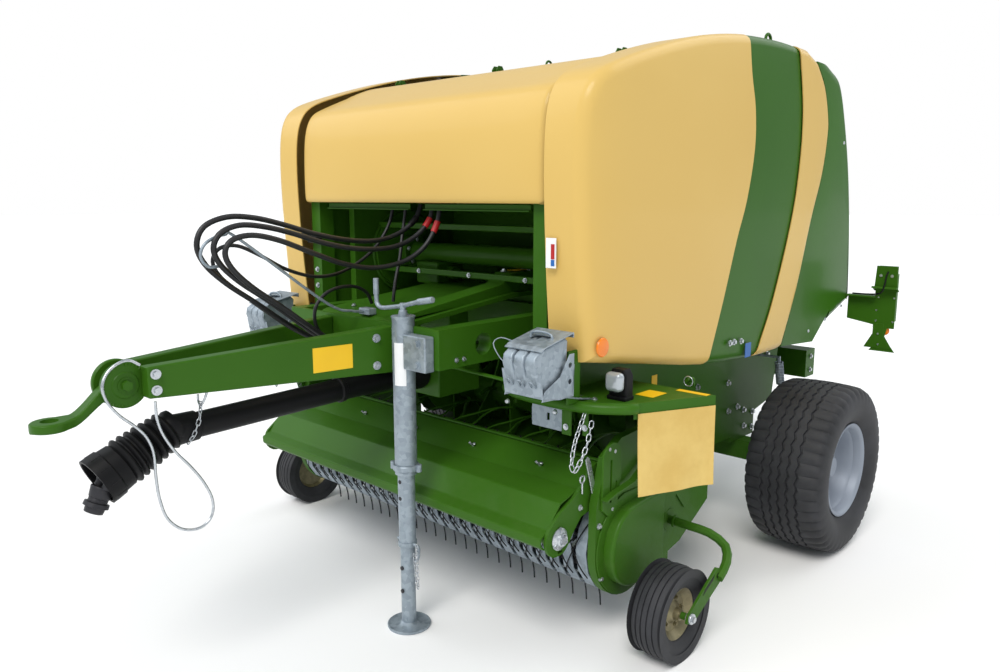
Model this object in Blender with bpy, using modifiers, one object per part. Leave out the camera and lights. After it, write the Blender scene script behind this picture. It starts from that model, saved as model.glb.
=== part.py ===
"""Round baler with a fixed bale chamber, parked on its two wheels and its jack.

Metres, +Z up, the floor at z = 0. The drawbar points along -Y and the machine's left side is +X.
Every piece is placed in the machine's own frame, whose y = 0 is the main axle, and hangs from
one empty that puts the middle of the machine's length on the world's origin.
"""
from math import cos, pi, radians, sin

import bmesh
import bpy
from mathutils import Matrix, Vector

# ---- driving dimensions -------------------------------------------------------------------
FRONT_Y = -3.22                 # tip of the hitch eye
REAR_Y = 0.90                   # rear of the tailgate cover
AXLE_Y = -(FRONT_Y + REAR_Y) / 2  # world y of the main axle

GAP = 0.0004                    # between pieces that rest on each other

WHEEL_X, WHEEL_R, WHEEL_W = 1.182, 0.4225, 0.387
RIM_R = 0.216
HUB_IN_X = -0.185               # inner end of the hub, from the wheel's middle
GAUGE_X, GAUGE_Y, GAUGE_R, GAUGE_W = 1.217, -1.42, 0.183, 0.145

BODY_X = 1.0                    # outer face of the side panels
HOOD_X = 0.781                  # end of the front hood
PANEL_IN_X = 0.80               # inner edge of a side panel
WALL_X = (0.61, 0.65)           # chamber side wall
PLATE_X = (0.74, 0.78)          # outer frame plate

CHAMBER = (-0.02, 1.49)         # axis of the bale chamber, y and z
CHAMBER_R, CHAMBER_HALF = 0.775, 0.6096
SPLIT_Y = 0.002                 # rear edge of the fixed walls
GATE_FRONT_Y = 0.014            # front edge of the tailgate walls

GATE_HINGE = (-0.10, 2.42)
HOOD_HINGE = (-1.12, 2.335)
PANEL_HINGE = (0.93, 2.42)      # x and z
PICKUP_PIVOT = (-0.92, 0.74)    # also the axis of the feed rotor
GUARD_PIVOT = (-1.55, 0.60)
REEL = (-1.40, 0.40)
REEL_BAND_R, REEL_TIP_R = 0.22, 0.31
TINE_PITCH, TINE_COUNT = 0.072, 26
ROTOR_R, ROTOR_HALF = 0.20, 0.70
STAR_COUNT, STAR_PITCH = 7, 0.14

JACK = (0.311, -1.965)
JACK_R = 0.0447
JACK_TOP_Z, JACK_COLLAR_Z, JACK_PIN_Z = 1.302, 0.69, 0.37

BAR_Z = (1.105, 1.262)          # drawbar frame, bottom and top
BAR_FRONT_Y, BAR_MID_Y, BAR_REAR_Y = -2.885, -1.95, -1.02
HITCH = (-2.936, 1.146)         # hitch disc axis
EYE = (-3.161, 1.045)
EYE_R = 0.059
PTO_REAR, PTO_BEND, PTO_MOUTH = (-1.62, 0.985), (-2.80, 0.945), (-3.035, 0.825)
PLATFORM_Z = (0.990, 1.004)

# side panel outline in the machine's side view, from the lower front corner, clockwise
PANEL_FRONT = [(-1.655, 1.158), (-1.665, 1.30), (-1.69, 1.62), (-1.70, 1.90), (-1.69, 2.05),
               (-1.655, 2.15), (-1.60, 2.205)]
PANEL_TOP = [(-1.45, 2.262), (-1.20, 2.338), (-0.95, 2.40), (-0.70, 2.443), (-0.45, 2.468),
             (-0.15, 2.478), (0.10, 2.468)]
PANEL_SEAM = [(0.20, 2.435), (0.31, 2.315), (0.372, 2.176), (0.38, 2.074), (0.335, 1.867),
              (0.228, 1.636), (0.10, 1.295), (-0.05, 0.998)]
PANEL_BOTTOM = [(-0.356, 0.995), (-0.82, 1.027)]
# rear outline of the tailgate cover, from the roof down
GATE_REAR = [(0.47, 2.43), (0.535, 2.405), (0.614, 2.314), (0.715, 2.094), (0.788, 1.876),
             (0.848, 1.621), (0.886, 1.40), (REAR_Y, 1.25), (0.894, 1.143)]

GREEN = ("green_paint", (0.045, 0.165, 0.012), 0.35, 0.0)
BEIGE = ("beige_paint", (0.72, 0.50, 0.19), 0.3, 0.0)
RUBBER = ("tyre_rubber", (0.018, 0.018, 0.02), 0.8, 0.0)
SILVER = ("rim_silver", (0.55, 0.56, 0.58), 0.35, 0.8)
ZINC = ("galvanised", (0.50, 0.53, 0.56), 0.5, 0.7)
BLACK = ("black_plastic", (0.012, 0.012, 0.014), 0.45, 0.0)
STEEL = ("dark_steel", (0.06, 0.06, 0.065), 0.5, 0.6)
LENS = ("lamp_lens", (0.75, 0.78, 0.8), 0.12, 0.0)
HOSE = ("hose_rubber", (0.012, 0.012, 0.014), 0.5, 0.0)
FLAP = ("flap_rubber", (0.70, 0.48, 0.18), 0.7, 0.0)

scene = bpy.context.scene
parts = bpy.data.collections.new("round_baler")
cutters = bpy.data.collections.new("cutters")


# ---- helpers ------------------------------------------------------------------------------
def clear_scene():
    for old in list(bpy.data.objects):
        bpy.data.objects.remove(old, do_unlink=True)
    scene.collection.children.link(parts)
    scene.collection.children.link(cutters)


def material(look, name):
    slot, colour, roughness, metallic = look
    made = bpy.data.materials.new(f"{name}_{slot}")
    made.use_nodes = True
    shader = made.node_tree.nodes["Principled BSDF"]
    shader.inputs["Base Color"].default_value = (*colour, 1.0)
    shader.inputs["Roughness"].default_value = roughness
    shader.inputs["Metallic"].default_value = metallic
    return made


def empty_at(name, location, parent=None):
    empty = bpy.data.objects.new(name, None)
    empty.location = location
    parts.objects.link(empty)
    if parent:
        empty.parent = parent
        empty.matrix_parent_inverse = Matrix.Translation(parent["machine_place"]).inverted()
    empty["machine_place"] = location
    return empty


def mesh_object(name, mesh):
    made = bpy.data.objects.new(name, mesh)
    parts.objects.link(made)
    return made


def box(name, low, high):
    low, high = Vector(low), Vector(high)
    mesh = bpy.data.meshes.new(name)
    cage = bmesh.new()
    bmesh.ops.create_cube(cage, size=1.0)
    bmesh.ops.scale(cage, vec=high - low, verts=cage.verts)
    bmesh.ops.translate(cage, vec=(low + high) / 2, verts=cage.verts)
    cage.to_mesh(mesh)
    cage.free()
    return mesh_object(name, mesh)


def rod(name, start, end, r1, r2=None, sides=20):
    """A straight round bar, or a cone where r2 differs."""
    start, end = Vector(start), Vector(end)
    axis = end - start
    mesh = bpy.data.meshes.new(name)
    cage = bmesh.new()
    bmesh.ops.create_cone(cage, cap_ends=True, segments=sides, radius1=r1,
                          radius2=r1 if r2 is None else r2, depth=axis.length)
    turn = axis.to_track_quat("Z", "Y").to_matrix().to_4x4()
    bmesh.ops.transform(cage, matrix=Matrix.Translation((start + end) / 2) @ turn, verts=cage.verts)
    cage.to_mesh(mesh)
    cage.free()
    return mesh_object(name, mesh)


def as_mesh(curve_object):
    """The curve's own solid as a welded mesh, which can be cut and joined."""
    bpy.context.view_layer.update()
    shape = curve_object.evaluated_get(bpy.context.evaluated_depsgraph_get())
    mesh = bpy.data.meshes.new_from_object(shape)
    cage = bmesh.new()
    cage.from_mesh(mesh)
    bmesh.ops.remove_doubles(cage, verts=cage.verts, dist=0.00005)
    bmesh.ops.transform(cage, matrix=curve_object.matrix_world, verts=cage.verts)
    cage.to_mesh(mesh)
    cage.free()
    name = curve_object.name
    bpy.data.objects.remove(curve_object, do_unlink=True)
    return mesh_object(name, mesh)


def plate(name, outlines, low, high, across="X"):
    """Flat plate: outlines of (y, z) pairs between two x values, or of (x, y) between two z."""
    curve = bpy.data.curves.new(name, "CURVE")
    curve.dimensions = "2D"
    curve.fill_mode = "BOTH"
    curve.extrude = (high - low) / 2
    for outline in outlines:
        spline = curve.splines.new("POLY")
        spline.points.add(len(outline) - 1)
        for point, (u, v) in zip(spline.points, outline):
            point.co = (u, v, 0, 1)
        spline.use_cyclic_u = True
    made = mesh_object(name, curve)
    middle = (low + high) / 2
    if across == "X":
        made.rotation_euler = (pi / 2, 0, pi / 2)
        made.location = (middle, 0, 0)
    elif across == "Y":
        made.rotation_euler = (pi / 2, 0, 0)
        made.location = (0, middle, 0)
    else:
        made.location = (0, 0, middle)
    return as_mesh(made)


def tube(name, points, radius, smooth=0, sides=2):
    """A round bar along points, rounded by a smooth curve with smooth points for each stretch."""
    curve = bpy.data.curves.new(name, "CURVE")
    curve.dimensions = "3D"
    curve.bevel_depth = radius
    curve.bevel_resolution = sides
    curve.use_fill_caps = True
    route = smooth_route(points, smooth) if smooth else [Vector(p) for p in points]
    spline = curve.splines.new("POLY")
    spline.points.add(len(route) - 1)
    for point, place in zip(spline.points, route):
        point.co = (*place, 1)
    return as_mesh(mesh_object(name, curve))


def smooth_route(points, steps):
    """Catmull-Rom curve through the points."""
    knots = [Vector(p) for p in points]
    knots = [knots[0] * 2 - knots[1]] + knots + [knots[-1] * 2 - knots[-2]]
    route = []
    for a, b, c, d in zip(knots, knots[1:], knots[2:], knots[3:]):
        for step in range(steps):
            t = step / steps
            route.append(0.5 * (2 * b + (c - a) * t + (2 * a - 5 * b + 4 * c - d) * t ** 2
                                + (3 * b - a - 3 * c + d) * t ** 3))
    return route + [knots[-2]]


def turned(name, profile, axis_point, steps=40):
    """Solid of revolution about a line along X. The profile holds (x, r) pairs and runs from
    high x to low x on its outer side; it is a closed loop unless it starts on the axis."""
    mesh = bpy.data.meshes.new(name)
    cage = bmesh.new()
    verts = [cage.verts.new((r, 0, x)) for x, r in profile]
    follow = verts[1:] if profile[0][1] == 0 else verts[1:] + verts[:1]
    for first, second in zip(verts, follow):
        cage.edges.new((first, second))
    cage.to_mesh(mesh)
    cage.free()
    made = mesh_object(name, mesh)
    made.rotation_euler = (0, pi / 2, 0)
    made.location = (0, *axis_point)
    screw = made.modifiers.new("turned", "SCREW")
    screw.steps = steps
    screw.render_steps = steps
    screw.use_merge_vertices = True
    screw.merge_threshold = 0.0001
    return made


def folded_sheet(name, profile, low, high, thickness):
    """A folded sheet: (y, z) profile drawn out along X, thickened towards its left-hand side."""
    mesh = bpy.data.meshes.new(name)
    cage = bmesh.new()
    verts = [cage.verts.new((low, y, z)) for y, z in profile]
    edges = [cage.edges.new(pair) for pair in zip(verts, verts[1:])]
    drawn = bmesh.ops.extrude_edge_only(cage, edges=edges)["geom"]
    moved = [item for item in drawn if isinstance(item, bmesh.types.BMVert)]
    bmesh.ops.translate(cage, vec=(high - low, 0, 0), verts=moved)
    cage.to_mesh(mesh)
    cage.free()
    made = mesh_object(name, mesh)
    shell = made.modifiers.new("sheet", "SOLIDIFY")
    shell.thickness = thickness
    shell.offset = 1.0
    shell.use_even_offset = True
    return made


def combine(kind, base, *others):
    for other in others:
        step = base.modifiers.new(kind.lower(), "BOOLEAN")
        step.operation = kind
        step.solver = "EXACT"
        step.object = other
        hide(other)
    return base


def join(base, *others):
    return combine("UNION", base, *others)


def cut(base, *others):
    return combine("DIFFERENCE", base, *others)


def hide(guide):
    for holder in list(guide.users_collection):
        holder.objects.unlink(guide)
    cutters.objects.link(guide)
    guide.name = "guide_" + guide.name
    guide.hide_render = True
    guide.display_type = "WIRE"


def finish(piece, look, parent):
    """Names the piece's material and hangs it from its empty, guides and all."""
    piece.data.materials.clear()
    piece.data.materials.append(material(look, piece.name))
    hang(piece, parent)
    return piece


def hang(piece, parent):
    back = Matrix.Translation(parent["machine_place"]).inverted()
    for step in piece.modifiers:
        if step.type == "BOOLEAN" and step.object.parent is None:
            hang(step.object, parent)
    piece.parent = parent
    piece.matrix_parent_inverse = back


def arc(centre, radius, start, end, steps):
    """Points from one angle to another, in degrees from +Y towards +Z."""
    turns = [radians(start + (end - start) * i / steps) for i in range(steps + 1)]
    return [(centre[0] + radius * cos(a), centre[1] + radius * sin(a)) for a in turns]


def ring_outline(centre, radius, sides=24):
    return arc(centre, radius, 0, 360 * (sides - 1) / sides, sides - 1)


def inset(outline, amount):
    """The outline moved inwards by amount; it runs clockwise."""
    moved = []
    for before, here, after in zip(outline[-1:] + outline[:-1], outline, outline[1:] + outline[:1]):
        first = (Vector(here) - Vector(before)).normalized()
        second = (Vector(after) - Vector(here)).normalized()
        normal = Vector((first.y + second.y, -first.x - second.x)).normalized()
        stretch = max(0.5, normal.dot(Vector((first.y, -first.x))))
        moved.append(tuple(Vector(here) + normal * amount / stretch))
    return moved


def both_sides(side):
    return "left" if side > 0 else "right"


def span(side, low, high):
    """An x range on the chosen side, low end first."""
    return (low, high) if side > 0 else (-high, -low)


# ---- wheels -------------------------------------------------------------------------------
def tyre_profile(radius, width, bead):
    half = width / 2
    wall = radius - bead
    right = [(half * 0.55, bead), (half * 0.86, bead + 0.02), (half, bead + wall * 0.42),
             (half * 0.97, bead + wall * 0.72), (half * 0.86, radius - 0.012), (half * 0.62, radius)]
    return right + [(-x, r) for x, r in reversed(right)]


def main_wheel(side, parent):
    name = both_sides(side)
    centre = (0.0, WHEEL_R)
    tyre = turned(f"tyre_{name}", tyre_profile(WHEEL_R, WHEEL_W, RIM_R), centre, 32)
    # the wheel disc is dished outwards; its barrel carries the tyre
    bead = RIM_R - GAP * 2
    edge = WHEEL_W / 2 * 0.55
    outer = [(edge + 0.03, bead - 0.016), (edge + 0.03, bead - 0.004), (edge, bead), (-edge, bead),
             (-edge - 0.03, bead - 0.004), (-edge - 0.03, bead - 0.016)]
    dish = [(-0.02, bead - 0.022), (0.02, 0.13), (0.02, 0.05), (HUB_IN_X, 0.05), (HUB_IN_X, 0.03),
            (0.075, 0.03), (0.075, 0.095), (0.05, 0.13), (0.05, bead - 0.022)]
    rim = turned(f"rim_{name}", outer + dish, centre, 32)
    for piece, look in ((tyre, RUBBER), (rim, SILVER)):
        piece.location.x = side * WHEEL_X
        if side < 0:
            piece.rotation_euler.z = pi
        finish(piece, look, parent)


def gauge_wheel(side, parent):
    name = both_sides(side)
    profile = [(0.03, 0), (0.03, 0.075), (0.045, 0.088), (0.062, 0.112), (GAUGE_W / 2, 0.14),
               (GAUGE_W / 2 - 0.006, 0.165), (0.045, GAUGE_R - 0.002), (0.02, GAUGE_R)]
    profile += [(-x, r) for x, r in reversed(profile)]
    wheel = turned(f"gauge_wheel_{name}", profile, (GAUGE_Y, GAUGE_R), 24)
    wheel.location.x = side * GAUGE_X
    finish(wheel, RUBBER, parent)


# ---- chassis ------------------------------------------------------------------------------
def side_frame(side, machine):
    """Chamber wall, outer frame plate and the webs between them, one welded piece a side."""
    name = both_sides(side)
    front, top = -1.50, 2.345
    wall = [(front, 1.02), (front, 1.96), (-1.16, 2.215), (-0.20, top), (-0.155, 2.455),
            (-0.045, 2.455), (SPLIT_Y, 2.36), (SPLIT_Y, 0.60), (-0.68, 0.60), (-0.68, 0.985)]
    piece = plate(f"side_frame_{name}", [wall], *span(side, *WALL_X))
    outer = [(-1.50, 1.02), (-1.50, 1.14), (0.26, 1.14), (0.40, 0.95), (0.34, 0.64), (0.13, 0.60),
             (0.13, 0.4732), (-0.13, 0.4732), (-0.13, 0.50), (-0.36, 0.50), (-0.75, 0.62), (-1.10,
                     0.86)]
    join(piece,
         plate("outer_plate", [outer], *span(side, *PLATE_X)),
         box("web_axle", (span(side, 0.63, 0.76)[0], -0.12, 0.4732), (span(side, 0.63, 0.76)[1],
                 -0.02, 0.70)),
         box("web_front", (span(side, 0.63, 0.76)[0], -1.48, 1.04), (span(side, 0.63, 0.76)[1], -1.40,
                 1.12)),
         box("web_middle", (span(side, 0.63, 0.76)[0], -0.60, 1.00), (span(side, 0.63, 0.76)[1],
                 -0.52, 1.10)),
         rod("pickup_stub", (side * 0.76, *PICKUP_PIVOT), (side * 0.962, *PICKUP_PIVOT), 0.032))
    finish(piece, GREEN, machine)


def chamber_shell(machine):
    """Fixed front wall of the chamber, and the floor with the feed pan under the rotor."""
    outer_r = CHAMBER_R + 0.03
    front = arc(CHAMBER, outer_r, 96, 204, 18) + [(-1.00, 1.03), (-1.00, 1.01)]
    front += arc(CHAMBER, CHAMBER_R, 205, 96, 18)
    wall = plate("chamber_front_wall", [front], -CHAMBER_HALF, CHAMBER_HALF)
    finish(wall, GREEN, machine)

    pan = arc(PICKUP_PIVOT, 0.212, 232, 318, 8) + arc(CHAMBER, CHAMBER_R, 234, 270, 8)
    under = arc(CHAMBER, outer_r, 270, 236, 8) + arc(PICKUP_PIVOT, 0.226, 318, 232, 8)
    floor = plate("chamber_floor", [pan + under], -CHAMBER_HALF, CHAMBER_HALF)
    finish(floor, GREEN, machine)


def roof(machine):
    outline = [(-1.09, 2.318), (-0.70, 2.352), (-0.215, 2.372), (-0.215, 2.356), (-0.70, 2.336),
               (-1.09, 2.302)]
    piece = plate("roof_panel", [outline], -0.77, 0.77)
    join(piece, plate("roof_seat", [[(-0.60, 2.345), (-0.26, 2.36), (-0.26, 2.30), (-0.60, 2.285)]],
                      -0.60, 0.60))
    finish(piece, BLACK, machine)


def front_frame(machine):
    """Portal behind the hood: two posts, the rail under the hood's edge and a tie to each wall."""
    piece = box("front_frame", (-0.77, -1.62, 1.735), (0.77, -1.58, 1.785))
    for side in (1, -1):
        low, high = span(side, 0.70, 0.77)
        join(piece,
             box("post", (low, -1.64, 1.02), (high, -1.56, 2.05)),
             box("tie_low", (span(side, 0.6504, 0.72)[0], -1.60, 1.06), (span(side, 0.6504, 0.72)[1],
                     -1.4805, 1.12)),
             box("tie_high", (span(side, 0.6504, 0.72)[0], -1.60, 1.86), (span(side, 0.6504, 0.72)[1],
                     -1.30, 1.92)))
    join(piece,
         box("tie_middle", (0.20, -1.60, 1.74), (0.26, -0.84, 1.78)),
         box("tie_middle_far", (-0.26, -1.60, 1.74), (-0.20, -0.84, 1.78)))
    finish(piece, GREEN, machine)


def net_brake(machine):
    """Net roll with its brake disc, carried by the left end of a cross shaft."""
    centre = (-1.18, 1.48)
    profile = [(0.605, 0), (0.605, 0.03), (0.52, 0.05), (-0.50, 0.05), (-0.56, 0.06), (-0.575, 0.205),
               (-0.59, 0.205), (-0.605, 0.05), (-0.605, 0)]
    piece = turned("net_roller", profile, centre, 28)
    finish(piece, GREEN, machine)


def axle(machine):
    piece = box("axle_beam", (-0.972, -0.05, WHEEL_R - 0.05), (0.972, 0.05, WHEEL_R + 0.05))
    for side in (1, -1):
        inner, outer = side * 0.95, side * (WHEEL_X - 0.191)
        join(piece, rod("axle_flange", (inner, 0, WHEEL_R), (outer, 0, WHEEL_R), 0.075))
    finish(piece, GREEN, machine)


# ---- drawbar ------------------------------------------------------------------------------
def drawbar_beam(side, machine):
    """One tapered channel of the V-shaped drawbar, from the hitch head to the frame."""
    name = both_sides(side)
    front_x, rear_x, width = 0.075, 0.205, 0.055
    outline = [(BAR_FRONT_Y, 1.098), (BAR_FRONT_Y, 1.206), (BAR_MID_Y - GAP, 1.252), (BAR_MID_Y - GAP,
            1.062)]
    piece = plate(f"drawbar_beam_{name}", [outline], -width / 2, width / 2)
    slope = (rear_x - front_x) / (BAR_MID_Y - BAR_FRONT_Y)
    for corner in piece.data.vertices:
        corner.co.x += side * (front_x + (corner.co.y - BAR_FRONT_Y) * slope)
    finish(piece, GREEN, machine)


def drawbar_frame(machine):
    """Rear frame of the drawbar: front plate, two side beams, cross tube and the sloped cover."""
    low, high = BAR_Z
    piece = box("drawbar_frame", (-0.50, BAR_MID_Y, low), (0.50, BAR_MID_Y + 0.02, high))
    holes = []
    for side in (1, -1):
        x0, x1 = span(side, 0.43, 0.50)
        join(piece, box("side_beam", (x0, BAR_MID_Y, low), (x1, BAR_REAR_Y, high)))
        holes.append(rod("lightening_hole", (side * 0.40, -1.71, 1.18), (side * 0.53, -1.71, 1.18),
                         0.045))
    join(piece, box("cross_tube", (-CHAMBER_HALF, -1.12, low + 0.02), (CHAMBER_HALF, BAR_REAR_Y, high)))
    cover = [(BAR_MID_Y, 1.25), (-1.90, 1.27), (-1.30, 1.335), (BAR_REAR_Y, 1.335), (BAR_REAR_Y, 1.25),
             (-1.10, 1.25), (-1.10, 1.315), (-1.30, 1.315), (-1.86, 1.255), (-1.90, 1.25)]
    join(piece, plate("cover", [cover], -0.30, 0.30))
    holes.append(rod("jack_cradle", (*JACK, 1.0), (*JACK, 1.4), JACK_R + 0.0008, sides=28))
    cut(piece, *holes)
    finish(piece, GREEN, machine)


def hitch(machine):
    """Toothed discs clamped in the front of the drawbar, and the eye bar bolted between them."""
    head = rod("hitch_head", (-0.0465, *HITCH), (-0.026, *HITCH), 0.078, sides=28)
    join(head,
         rod("disc", (0.026, *HITCH), (0.0465, *HITCH), 0.078, sides=28),
         box("head_block", (-0.0450, HITCH[0] + 0.02, 1.105), (0.0450, BAR_FRONT_Y + 0.03, 1.195)),
         rod("bolt", (-0.062, *HITCH), (0.062, *HITCH), 0.018, sides=6))
    finish(head, GREEN, machine)

    bar = [(HITCH[0] - 0.088, 1.165), (HITCH[0] - 0.082, 1.085), (-3.10, 1.030), (EYE[0] - 0.02, 1.030),
           (EYE[0] - 0.02, 1.060), (-3.10, 1.064)]
    eye = plate("hitch_eye", [[(y, z) for y, z in bar]], -0.022, 0.022)
    ring = plate("eye_ring", [ring_outline((0, EYE[0]), EYE_R, 28)], 1.030, 1.060, "Z")
    hole = rod("eye_hole", (0, EYE[0], 1.00), (0, EYE[0], 1.10), 0.0275, sides=24)
    cut(join(eye, ring), hole)
    finish(eye, GREEN, machine)


def jack(machine, leg_parent):
    x, y = JACK
    tube_r, bore_r, middle_r, leg_r = JACK_R, 0.0385, 0.035, 0.030
    body = rod("jack_tube", (x, y, 0.66), (x, y, JACK_TOP_Z), tube_r, sides=28)
    join(body,
         rod("collar", (x, y, JACK_COLLAR_Z - 0.012), (x, y, JACK_COLLAR_Z), 0.054, sides=28),
         box("bracket", (x + 0.02, y - 0.03, 1.10), (0.474, BAR_MID_Y - GAP, 1.235)),
         rod("spindle", (x, y, JACK_TOP_Z - 0.02), (x, y, 1.36), 0.012, sides=14),
         tube("crank", [(x + 0.17, y, 1.372), (x + 0.0, y, 1.345), (x - 0.13, y, 1.325),
                        (x - 0.16, y, 1.34),
                        (x - 0.165, y, 1.44)], 0.0095))
    cut(body, rod("bore", (x, y, 0.60), (x, y, 1.275), bore_r, sides=28))
    finish(body, ZINC, machine)

    leg = rod("jack_leg", (x, y, JACK_PIN_Z - 0.02), (x, y, 0.74), middle_r, sides=24)
    join(leg,
         rod("inner_leg", (x, y, 0.004), (x, y, JACK_PIN_Z + 0.05), leg_r, sides=24),
         rod("foot", (x, y, 0.0), (x, y, 0.010), 0.09, sides=32),
         rod("pin", (x - 0.055, y, JACK_PIN_Z), (x + 0.055, y, JACK_PIN_Z), 0.008, sides=10))
    finish(leg, ZINC, leg_parent)


def pto_shaft(machine, yoke_parent):
    """Guard tube from the gearbox to the bellows, and the bare yoke hanging out of its mouth."""
    rear, bend, mouth = (Vector((0, *p)) for p in (PTO_REAR, PTO_BEND, PTO_MOUTH))
    fall = (mouth - bend).normalized()
    guard = rod("pto_guard", rear, bend, 0.047, sides=20)
    join(guard,
         rod("bellows", bend - fall * 0.06, bend + fall * 0.12, 0.062, 0.078, sides=24),
         rod("bell", bend + fall * 0.10, mouth, 0.084, 0.088, sides=24),
         rod("rear_cone", rear - Vector((0, 0.005, 0)), rear - Vector((0, 0.14, 0)), 0.085, 0.06,
             sides=24))
    cut(guard, rod("mouth", bend + fall * 0.16, mouth + fall * 0.05, 0.076, sides=24))
    finish(guard, BLACK, machine)

    drop = Vector((0, -0.052, -0.105)).normalized()
    start = bend + fall * 0.19
    yoke = rod("pto_yoke", start, start + fall * 0.04, 0.045, sides=18)
    neck = start + fall * 0.03
    join(yoke,
         rod("cross", neck, neck + drop * 0.07, 0.034, sides=16),
         rod("sleeve", neck + drop * 0.06, neck + drop * 0.135, 0.030, sides=20),
         rod("sleeve_ring", neck + drop * 0.09, neck + drop * 0.105, 0.042, sides=20))
    finish(yoke, STEEL, yoke_parent)

    box_low, box_high = (-0.13, -1.6145, 0.875), (0.13, -1.36, 1.09)
    gearbox = box("gearbox", box_low, box_high)
    join(gearbox,
         box("gearbox_foot", (-0.10, -1.52, 1.08), (0.10, -1.40, 1.2895)),
         rod("output", (0.0, -1.37, 0.98), (0.0, -1.30, 0.98), 0.07, sides=20))
    finish(gearbox, GREEN, machine)


# ---- feed and pickup ----------------------------------------------------------------------
def feed_rotor(parent):
    """Cross shaft with star plates in the middle and an auger flight towards each end."""
    centre = Vector((0, *PICKUP_PIVOT))
    piece = rod("feed_rotor", centre - Vector((ROTOR_HALF, 0, 0)),
                centre + Vector((ROTOR_HALF, 0, 0)), 0.075, sides=16)
    for index in range(STAR_COUNT):
        x = (index - (STAR_COUNT - 1) / 2) * STAR_PITCH
        points = []
        for tooth in range(3):
            turn = 120 * tooth + 40 * index + 5
            points += arc(PICKUP_PIVOT, ROTOR_R, turn, turn + 8, 1)
            points += arc(PICKUP_PIVOT, 0.095, turn + 50, turn + 78, 1)
        join(piece, plate("star", [points], x - 0.005, x + 0.005))
    for side in (1, -1):
        join(piece, flight(side, centre))
    finish(piece, GREEN, parent)


def flight(side, centre):
    """One turn of auger flight, a ribbon lofted round the shaft."""
    mesh = bpy.data.meshes.new("flight")
    cage = bmesh.new()
    steps = 14
    inner, outer = 0.06, ROTOR_R - 0.005
    pairs = []
    for step in range(steps + 1):
        turn = 2 * pi * step / steps
        x = side * (0.53 + 0.15 * step / steps)
        pairs.append([cage.verts.new((x, centre.y + r * cos(turn), centre.z + r * sin(turn)))
                      for r in (inner, outer)])
    for (a, b), (c, d) in zip(pairs, pairs[1:]):
        cage.faces.new((a, b, d, c) if side > 0 else (c, d, b, a))
    cage.to_mesh(mesh)
    cage.free()
    made = mesh_object("flight", mesh)
    shell = made.modifiers.new("sheet", "SOLIDIFY")
    shell.thickness = 0.006
    shell.offset = 0.0
    return made


def pickup_frame(parent):
    """Two side plates with the round reel housing, a rear panel and the cross tube between them."""
    ring = arc(REEL, REEL_BAND_R, 300, 185, 12)
    outline = ring + [(-1.615, 0.60), (-1.56, 0.78), (-1.46, 0.84), (-1.20, 0.86), (-0.84, 0.85),
                      (-0.765, 0.75),
                      (-0.765, 0.40), (-1.00, 0.27)]
    low, high = 0.968, 1.004
    piece = plate("pickup_frame", [outline], low, high)
    join(piece,
         plate("far_plate", [outline], -high, -low),
         rod("cross_tube", (-0.98, -0.985, 0.42), (0.98, -0.985, 0.42), 0.04, sides=16))
    for side in (1, -1):
        x0, x1 = span(side, 0.955, 0.98)
        join(piece, box("panel_bracket", (x0, -1.062, 0.30), (x1, -1.00, 0.50)))
    finish(piece, GREEN, parent)


def stripper_bands(parent):
    """Galvanised bands between the tine rows, all welded to the rear panel of the pickup."""
    back = -1.075
    panel = plate("stripper_bands", [[(back, 0.24), (back, 0.57), (back + 0.012, 0.57),
                                      (back + 0.012, 0.24)]],
                  -0.950, 0.950)
    outer = [(back + 0.008, 0.560)] + arc(REEL, REEL_BAND_R, 88, 272, 8) + [(back + 0.008, 0.250)]
    inner = [(back + 0.008, 0.256)] + arc(REEL, REEL_BAND_R - 0.005, 272, 88, 8) + [(back + 0.008,
            0.554)]
    first = -TINE_PITCH * TINE_COUNT / 2
    band = plate("band", [outer + inner], first - 0.0245, first + 0.0245)
    row = band.modifiers.new("row", "ARRAY")
    row.use_relative_offset = False
    row.use_constant_offset = True
    row.constant_offset_displace = (TINE_PITCH, 0, 0)
    row.count = TINE_COUNT + 1
    join(panel, band)
    finish(panel, ZINC, parent)


def tine_reel(parent):
    """Tube with four rows of tines, each row a comb with its teeth in the gaps of the bands."""
    centre = Vector((0, *REEL))
    half = TINE_PITCH * TINE_COUNT / 2 - 0.012
    piece = rod("tine_reel", centre - Vector((half, 0, 0)), centre + Vector((half, 0, 0)), 0.05,
                sides=12)
    tooth = 0.0035
    comb = [(-half, 0.04), (-half, 0.15)]
    for index in range(TINE_COUNT):
        x = (index - (TINE_COUNT - 1) / 2) * TINE_PITCH
        comb += [(x - tooth, 0.15), (x - tooth, REEL_TIP_R), (x + tooth, REEL_TIP_R), (x + tooth, 0.15)]
    comb += [(half, 0.15), (half, 0.04)]
    for row in range(4):
        blade = plate("comb", [comb], -0.0035, 0.0035, "Y")
        turn = Matrix.Rotation(radians(90 * row + 165), 4, "X")
        blade.data.transform(Matrix.Translation(centre) @ turn)
        join(piece, blade)
    finish(piece, STEEL, parent)


def crop_guard(parent):
    """Folded guard over the tines with the crop roller under its lip and an arm at each end."""
    profile = [(-1.525, 0.735), (-1.70, 0.635), (-1.775, 0.607), (-1.842, 0.540), (-1.868, 0.512),
               (-1.850, 0.488)]
    piece = folded_sheet("crop_guard", profile, -0.952, 0.952, 0.009)
    roller = rod("roller", (-0.95, -1.785, 0.515), (0.95, -1.785, 0.515), 0.038, sides=16)
    join(piece, roller)
    arm = [(-1.525, 0.735), (-1.70, 0.635), (-1.775, 0.607), (-1.842, 0.540), (-1.855, 0.49), (-1.80,
            0.455),
           (-1.735, 0.475), (-1.68, 0.545), (-1.60, 0.57), (-1.55, 0.575), (-1.525, 0.60)]
    for side in (1, -1):
        join(piece, plate("guard_arm", [arm], *span(side, 0.945, 0.957)))
    finish(piece, GREEN, parent)


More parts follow.
